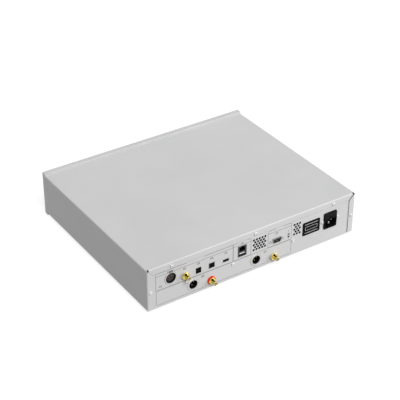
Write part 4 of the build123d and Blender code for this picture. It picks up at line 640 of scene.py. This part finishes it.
# Mains inlet: a black flame-proof moulding with a cavity round three plated pins, screwed to the
# panel at both sides. A drawer slides out of its pocket and holds a glass fuse.
inlet_black = finish("inlet_black", (0.003, 0.003, 0.003), (0.006, 0.006, 0.006), 0.42,
                     cloud=400.0, fine=2600.0, depth=0.000015, bevel=0.0003, sheen=0.05)
dress(inlet_black, "mains_inlet")
dress(satin, "mains_pins")
drawer_black = finish("drawer_black", (0.005, 0.005, 0.005), (0.009, 0.009, 0.009), 0.42,
                      cloud=400.0, fine=2600.0, depth=0.000015, bevel=0.0003, sheen=0.06)
dress(drawer_black, "fuse_drawer")
glass = finish("fuse_glass", (0.55, 0.60, 0.58), (0.66, 0.70, 0.68), 0.08, cloud=200.0,
               fine=600.0, depth=0.000002, spread=0.02)
dress(glass, "fuse")

# Circuit boards: glass fibre under a green solder mask, whose copper tracks show as paler lines.
# The control board sits on the sub-panel's studs, the others on turned brass stand-offs.
board_green = finish("solder_mask", (0.006, 0.060, 0.022), (0.016, 0.115, 0.040), 0.3,
                     cloud=420.0, fine=900.0, depth=0.00004, stretch=(1.0, 0.25, 1.0))
dress(board_green, "control_board", "audio_board", "digital_board", "power_board")
brass = finish("brass", (0.62, 0.44, 0.16), (0.74, 0.54, 0.22), 0.3, metal=1.0, cloud=700.0,
               fine=2600.0, depth=0.000006, bevel=0.0002)
dress(brass, "standoffs")

# Power parts, which stand on the power board: capacitors in dark shrunk sleeves, and a heat sink
# extruded in aluminium and anodised in black, whose finish is drawn out along its fins.
sleeve = finish("capacitor_sleeve", (0.012, 0.014, 0.030), (0.020, 0.022, 0.042), 0.3,
                cloud=200.0, fine=1200.0, depth=0.00001, bevel=0.0003)
dress(sleeve, "capacitors")
sink = finish("black_anodised", (0.014, 0.014, 0.015), (0.030, 0.030, 0.031), 0.5, metal=0.6,
              cloud=300.0, fine=2500.0, depth=0.00001, stretch=(1.0, 1.0, 0.1), bevel=0.0002)
dress(sink, "heat_sink")

# Mains transformer: a ring of enamelled wire wound over with amber tape. A dished and painted
# steel plate with a bolt through its middle holds it down on the tray.
tape = finish("winding_tape", (0.42, 0.27, 0.05), (0.60, 0.42, 0.10), 0.35, cloud=160.0,
              fine=700.0, depth=0.00008, bevel=0.001)
dress(tape, "toroid")
clamp = finish("clamp_paint", (0.016, 0.016, 0.018), (0.026, 0.026, 0.028), 0.4, cloud=200.0,
               fine=2200.0, depth=0.00002, bevel=0.0004)
dress(clamp, "toroid_clamp")

# Ribbon cable: thin wires side by side in grey plastic. The flat strip runs from the control
# board's plug along the tray to the digital board.
ribbon = finish("ribbon_grey", (0.30, 0.30, 0.31), (0.42, 0.42, 0.43), 0.5, cloud=800.0,
                fine=780.0, depth=0.0001, stretch=(1.0, 0.02, 0.02))
dress(ribbon, "ribbon_cable")

# Printing on the rear panel: thin lines screened in grey ink round the groups of sockets, and a
# plain number in black beside each socket. Both dry to a skin a few hundredths of a millimetre
# thick.
ink = finish("screen_ink", (0.20, 0.20, 0.202), (0.26, 0.26, 0.262), 0.55, cloud=1500.0,
             fine=3000.0, depth=0.000004)
black_ink = finish("black_ink", (0.010, 0.010, 0.010), (0.016, 0.016, 0.016), 0.55, cloud=1500.0,
                   fine=3000.0, depth=0.000004, sheen=0.2)
below = 0.006  # underside of the case, from which the print's heights are given
ink_back, ink_front = -0.00002, 0.00003


def printed_line(path, width, loop=False, face=wall):
    """A printed line as a grid: the path, in x and height on the wall, moved half the width to
    each side with mitred corners and raised from the face to the ink's thickness."""
    path = np.array(path, float)
    ahead = np.roll(path, -1, 0) - path
    behind = path - np.roll(path, 1, 0)
    if not loop:
        ahead[-1], behind[0] = behind[-1], ahead[0]
    ahead /= np.linalg.norm(ahead, axis=1)[:, None]
    behind /= np.linalg.norm(behind, axis=1)[:, None]
    along = ahead + behind
    along /= np.linalg.norm(along, axis=1)[:, None]
    half = width / 2 / (along * ahead).sum(1)
    # seen from outside, +x is to the left, so the line's left is its direction turned back
    left = np.stack([along[:, 1], -along[:, 0]], 1) * half[:, None]
    corners = []
    for side, depth in ((-left, ink_back), (-left, ink_front), (left, ink_front),
                        (left, ink_back)):
        corners.append(np.stack([path[:, 0] + side[:, 0], np.full(len(path), face + depth),
                                 path[:, 1] + side[:, 1] + below], 1))
    return np.stack(corners, 1)


def rounded_frame(left, right, low, high, radius):
    """The outline of a frame with quarter-circle corners, from its extreme x and heights."""
    turn = np.linspace(0, math.pi / 2, 6)
    path = []
    for x, z, start in ((left - radius, high - radius, 0), (right + radius, high - radius, 1),
                        (right + radius, low + radius, 2), (left - radius, low + radius, 3)):
        angle = turn + start * math.pi / 2
        path += list(zip(x + radius * np.cos(angle), z + radius * np.sin(angle)))
    return path


def broken_frame(left, right, low, high, radius, gap_left, gap_right):
    """A frame's outline that stops at gap_left and goes on at gap_right in its upper side."""
    path = rounded_frame(left, right, low, high, radius)
    return [(gap_right, high), *path[6:], *path[:6], (gap_left, high)]


line, upper_low, upper_high, head = 0.0008, 0.0345, 0.0680, 0.0625
lower_frame = rounded_frame(0.1985, -0.0773, 0.0050, 0.0340, 0.003)
rules = []
for left, right, radius, gap_left, gap_right in ((0.1990, 0.0460, 0.002, 0.1380, 0.1050),
                                                 (0.0455, 0.0090, 0.002, 0.0370, 0.0170),
                                                 (-0.0270, -0.0770, 0.003, -0.0430, -0.0600)):
    rules.append(broken_frame(left, right, upper_low, upper_high, radius, gap_left, gap_right))
    rules.append([(left, head), (right, head)])
printed_frame = grid_mesh("printed_frame", [printed_line(lower_frame, line, loop=True)], ink,
                          closed=True)
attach(printed_frame, "case")
printed_rules = grid_mesh("printed_rules", [printed_line(path, line) for path in rules], ink)
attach(printed_rules, "case")

# each number with the x and height of its middle and its size
numbers = bmesh.new()
for text, x, height, size in (
        ("01", 0.1895, 0.0405, 0.0060), ("02", 0.1428, 0.0580, 0.0060),
        ("03", 0.1156, 0.0580, 0.0060), ("04", 0.0891, 0.0580, 0.0060),
        ("05", 0.0604, 0.0580, 0.0060), ("06", 0.0270, 0.0652, 0.0046),
        ("07", -0.0455, 0.0580, 0.0060), ("0", -0.0712, 0.0530, 0.0042),
        ("1", -0.0712, 0.0372, 0.0032), ("08", 0.1075, 0.0285, 0.0060),
        ("09", -0.0215, 0.0285, 0.0060)):
    curve = bpy.data.curves.new("number", "FONT")
    curve.body = text
    curve.size = size
    curve.align_x = "CENTER"
    curve.align_y = "CENTER"
    curve.extrude = (ink_front - ink_back) / 2
    written = bpy.data.objects.new("number", curve)
    bpy.context.scene.collection.objects.link(written)
    bpy.context.view_layer.update()
    flat = bpy.data.meshes.new_from_object(written)
    # turned upright and outward, its middle half way between the ink's back and front
    flat.transform(Matrix(((-1, 0, 0, x), (0, 0, 1, wall + (ink_back + ink_front) / 2),
                           (0, 1, 0, below + height), (0, 0, 0, 1))))
    numbers.from_mesh(flat)
    bpy.data.objects.remove(written)
    bpy.data.meshes.remove(flat)
mesh = bpy.data.meshes.new("port_numbers")
numbers.to_mesh(mesh)
numbers.free()
mesh.materials.append(black_ink)
port_numbers = bpy.data.objects.new("port_numbers", mesh)
bpy.context.scene.collection.objects.link(port_numbers)
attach(port_numbers, "case")

# Data plate: thin aluminium, anodised in black and glued to the panel. A frame and two rules are
# etched through the black to the pale metal, and the fields between them are left bare of words.
plate_black = finish("plate_black", (0.003, 0.003, 0.003), (0.005, 0.005, 0.005), 0.45,
                     cloud=80.0, fine=4000.0, depth=0.000006, bevel=0.0001, sheen=0.04)
dress(plate_black, "data_plate")
etched_pale = finish("etched_pale", (0.56, 0.56, 0.56), (0.66, 0.66, 0.66), 0.5, cloud=900.0,
                     fine=3000.0, depth=0.000004, sheen=0.3)
plate_x, plate_z = middle("data_plate")
plate_face = float(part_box("data_plate")[1][1])


def on_plate(points):
    """Moves points, given from the plate's middle, to x and height on the wall."""
    return [(plate_x + x, plate_z + z - below) for x, z in points]


field = rounded_frame(0.0130, -0.0130, -0.0032, 0.0032, 0.0008)
plate_box = grid_mesh("plate_box", [
    printed_line(on_plate(field), 0.0006, loop=True, face=plate_face)], etched_pale, closed=True)
plate_rules = grid_mesh("plate_rules", [
    printed_line(on_plate([(0.0140, z), (-0.0140, z)]), 0.0009, face=plate_face)
    for z in (0.0085, -0.0085)], etched_pale)
for piece in (plate_box, plate_rules):
    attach(piece, "case")

# Studio: a pale floor, soft light from all round, a broad lamp high behind the rear wall and a
# lower one on the mains inlet's side. Camera, metal and glass see a white room and a pale floor,
# which keeps the object's shadow.


def seen_not_lit(nodes, links):
    """A socket that is 1 for rays from the camera, a mirror or glass, and 0 for those that carry
    light to a surface: the largest of the three ray tests."""
    ray = nodes.new("ShaderNodeLightPath")
    largest = ray.outputs["Is Camera Ray"]
    for kind in ("Is Glossy Ray", "Is Transmission Ray"):
        step = nodes.new("ShaderNodeMath")
        step.operation = "MAXIMUM"
        links.new(largest, step.inputs[0])
        links.new(ray.outputs[kind], step.inputs[1])
        largest = step.outputs[0]
    return largest


reach, floor_grey, floor_glow, room_light = 4.0, 0.26, 0.84, 0.37
floor_mesh = bpy.data.meshes.new("floor")
floor_mesh.from_pydata([(-reach, -reach, 0), (reach, -reach, 0), (reach, reach, 0),
                        (-reach, reach, 0)], [], [(0, 1, 2, 3)])
floor = bpy.data.objects.new("floor", floor_mesh)
bpy.context.scene.collection.objects.link(floor)
paper = bpy.data.materials.new("studio_floor")
paper.use_nodes = True
nodes, links = paper.node_tree.nodes, paper.node_tree.links
nodes.remove(nodes["Principled BSDF"])
dull = nodes.new("ShaderNodeBsdfDiffuse")
dull.inputs["Color"].default_value = (floor_grey, floor_grey, floor_grey, 1)
lit = nodes.new("ShaderNodeEmission")
lit.inputs["Color"].default_value = (1, 1, 1, 1)
bright = nodes.new("ShaderNodeMath")
bright.operation = "MULTIPLY"
bright.inputs[1].default_value = floor_glow
links.new(seen_not_lit(nodes, links), bright.inputs[0])
links.new(bright.outputs[0], lit.inputs["Strength"])
both = nodes.new("ShaderNodeAddShader")
links.new(dull.outputs[0], both.inputs[0])
links.new(lit.outputs[0], both.inputs[1])
links.new(both.outputs[0], nodes["Material Output"].inputs["Surface"])
floor_mesh.materials.append(paper)

world = bpy.data.worlds.new("studio")
bpy.context.scene.world = world
world.use_nodes = True
nodes, links = world.node_tree.nodes, world.node_tree.links
sky = nodes["Background"]
sky.inputs["Color"].default_value = (1, 1, 1, 1)
level = nodes.new("ShaderNodeMapRange")
level.inputs["To Min"].default_value = room_light
level.inputs["To Max"].default_value = 1.0
links.new(seen_not_lit(nodes, links), level.inputs["Value"])
links.new(level.outputs["Result"], sky.inputs["Strength"])

key_lamp = bpy.data.lights.new("key", "SUN")
key_lamp.energy = 2.02
key_lamp.angle = math.radians(25)
side_lamp = bpy.data.lights.new("side", "AREA")
side_lamp.energy = 15.9
side_lamp.size = 1.2
# each lamp with its place and the direction that it shines from
for lamp, place, source in ((key_lamp, (0, 0, 0), (0.0700, 0.6310, 0.7725)),
                            (side_lamp, (-1.3, wall + 1.326, 0.55), (-1.2, 1.3, 0.50))):
    stand = bpy.data.objects.new(lamp.name, lamp)
    bpy.context.scene.collection.objects.link(stand)
    stand.location = place
    stand.rotation_mode = "QUATERNION"
    stand.rotation_quaternion = Vector(source).to_track_quat("Z", "Y")

lens = bpy.data.cameras.new("camera")
lens.lens = 109.08
lens.sensor_width = 36
lens.sensor_fit = "HORIZONTAL"
lens.clip_start = 0.1
lens.clip_end = 50
camera = bpy.data.objects.new("camera", lens)
bpy.context.scene.collection.objects.link(camera)
# its columns are the camera's right, its up, the way back from the object, and its place
camera.matrix_world = Matrix(((-0.833817, -0.296776, 0.465481, 1.01497),
                              (0.552040, -0.449426, 0.702331, wall + 1.36130),
                              (0.000764, 0.842580, 0.538571, 1.23145),
                              (0, 0, 0, 1)))
bpy.context.scene.camera = camera
bpy.context.scene.view_settings.view_transform = "Standard"
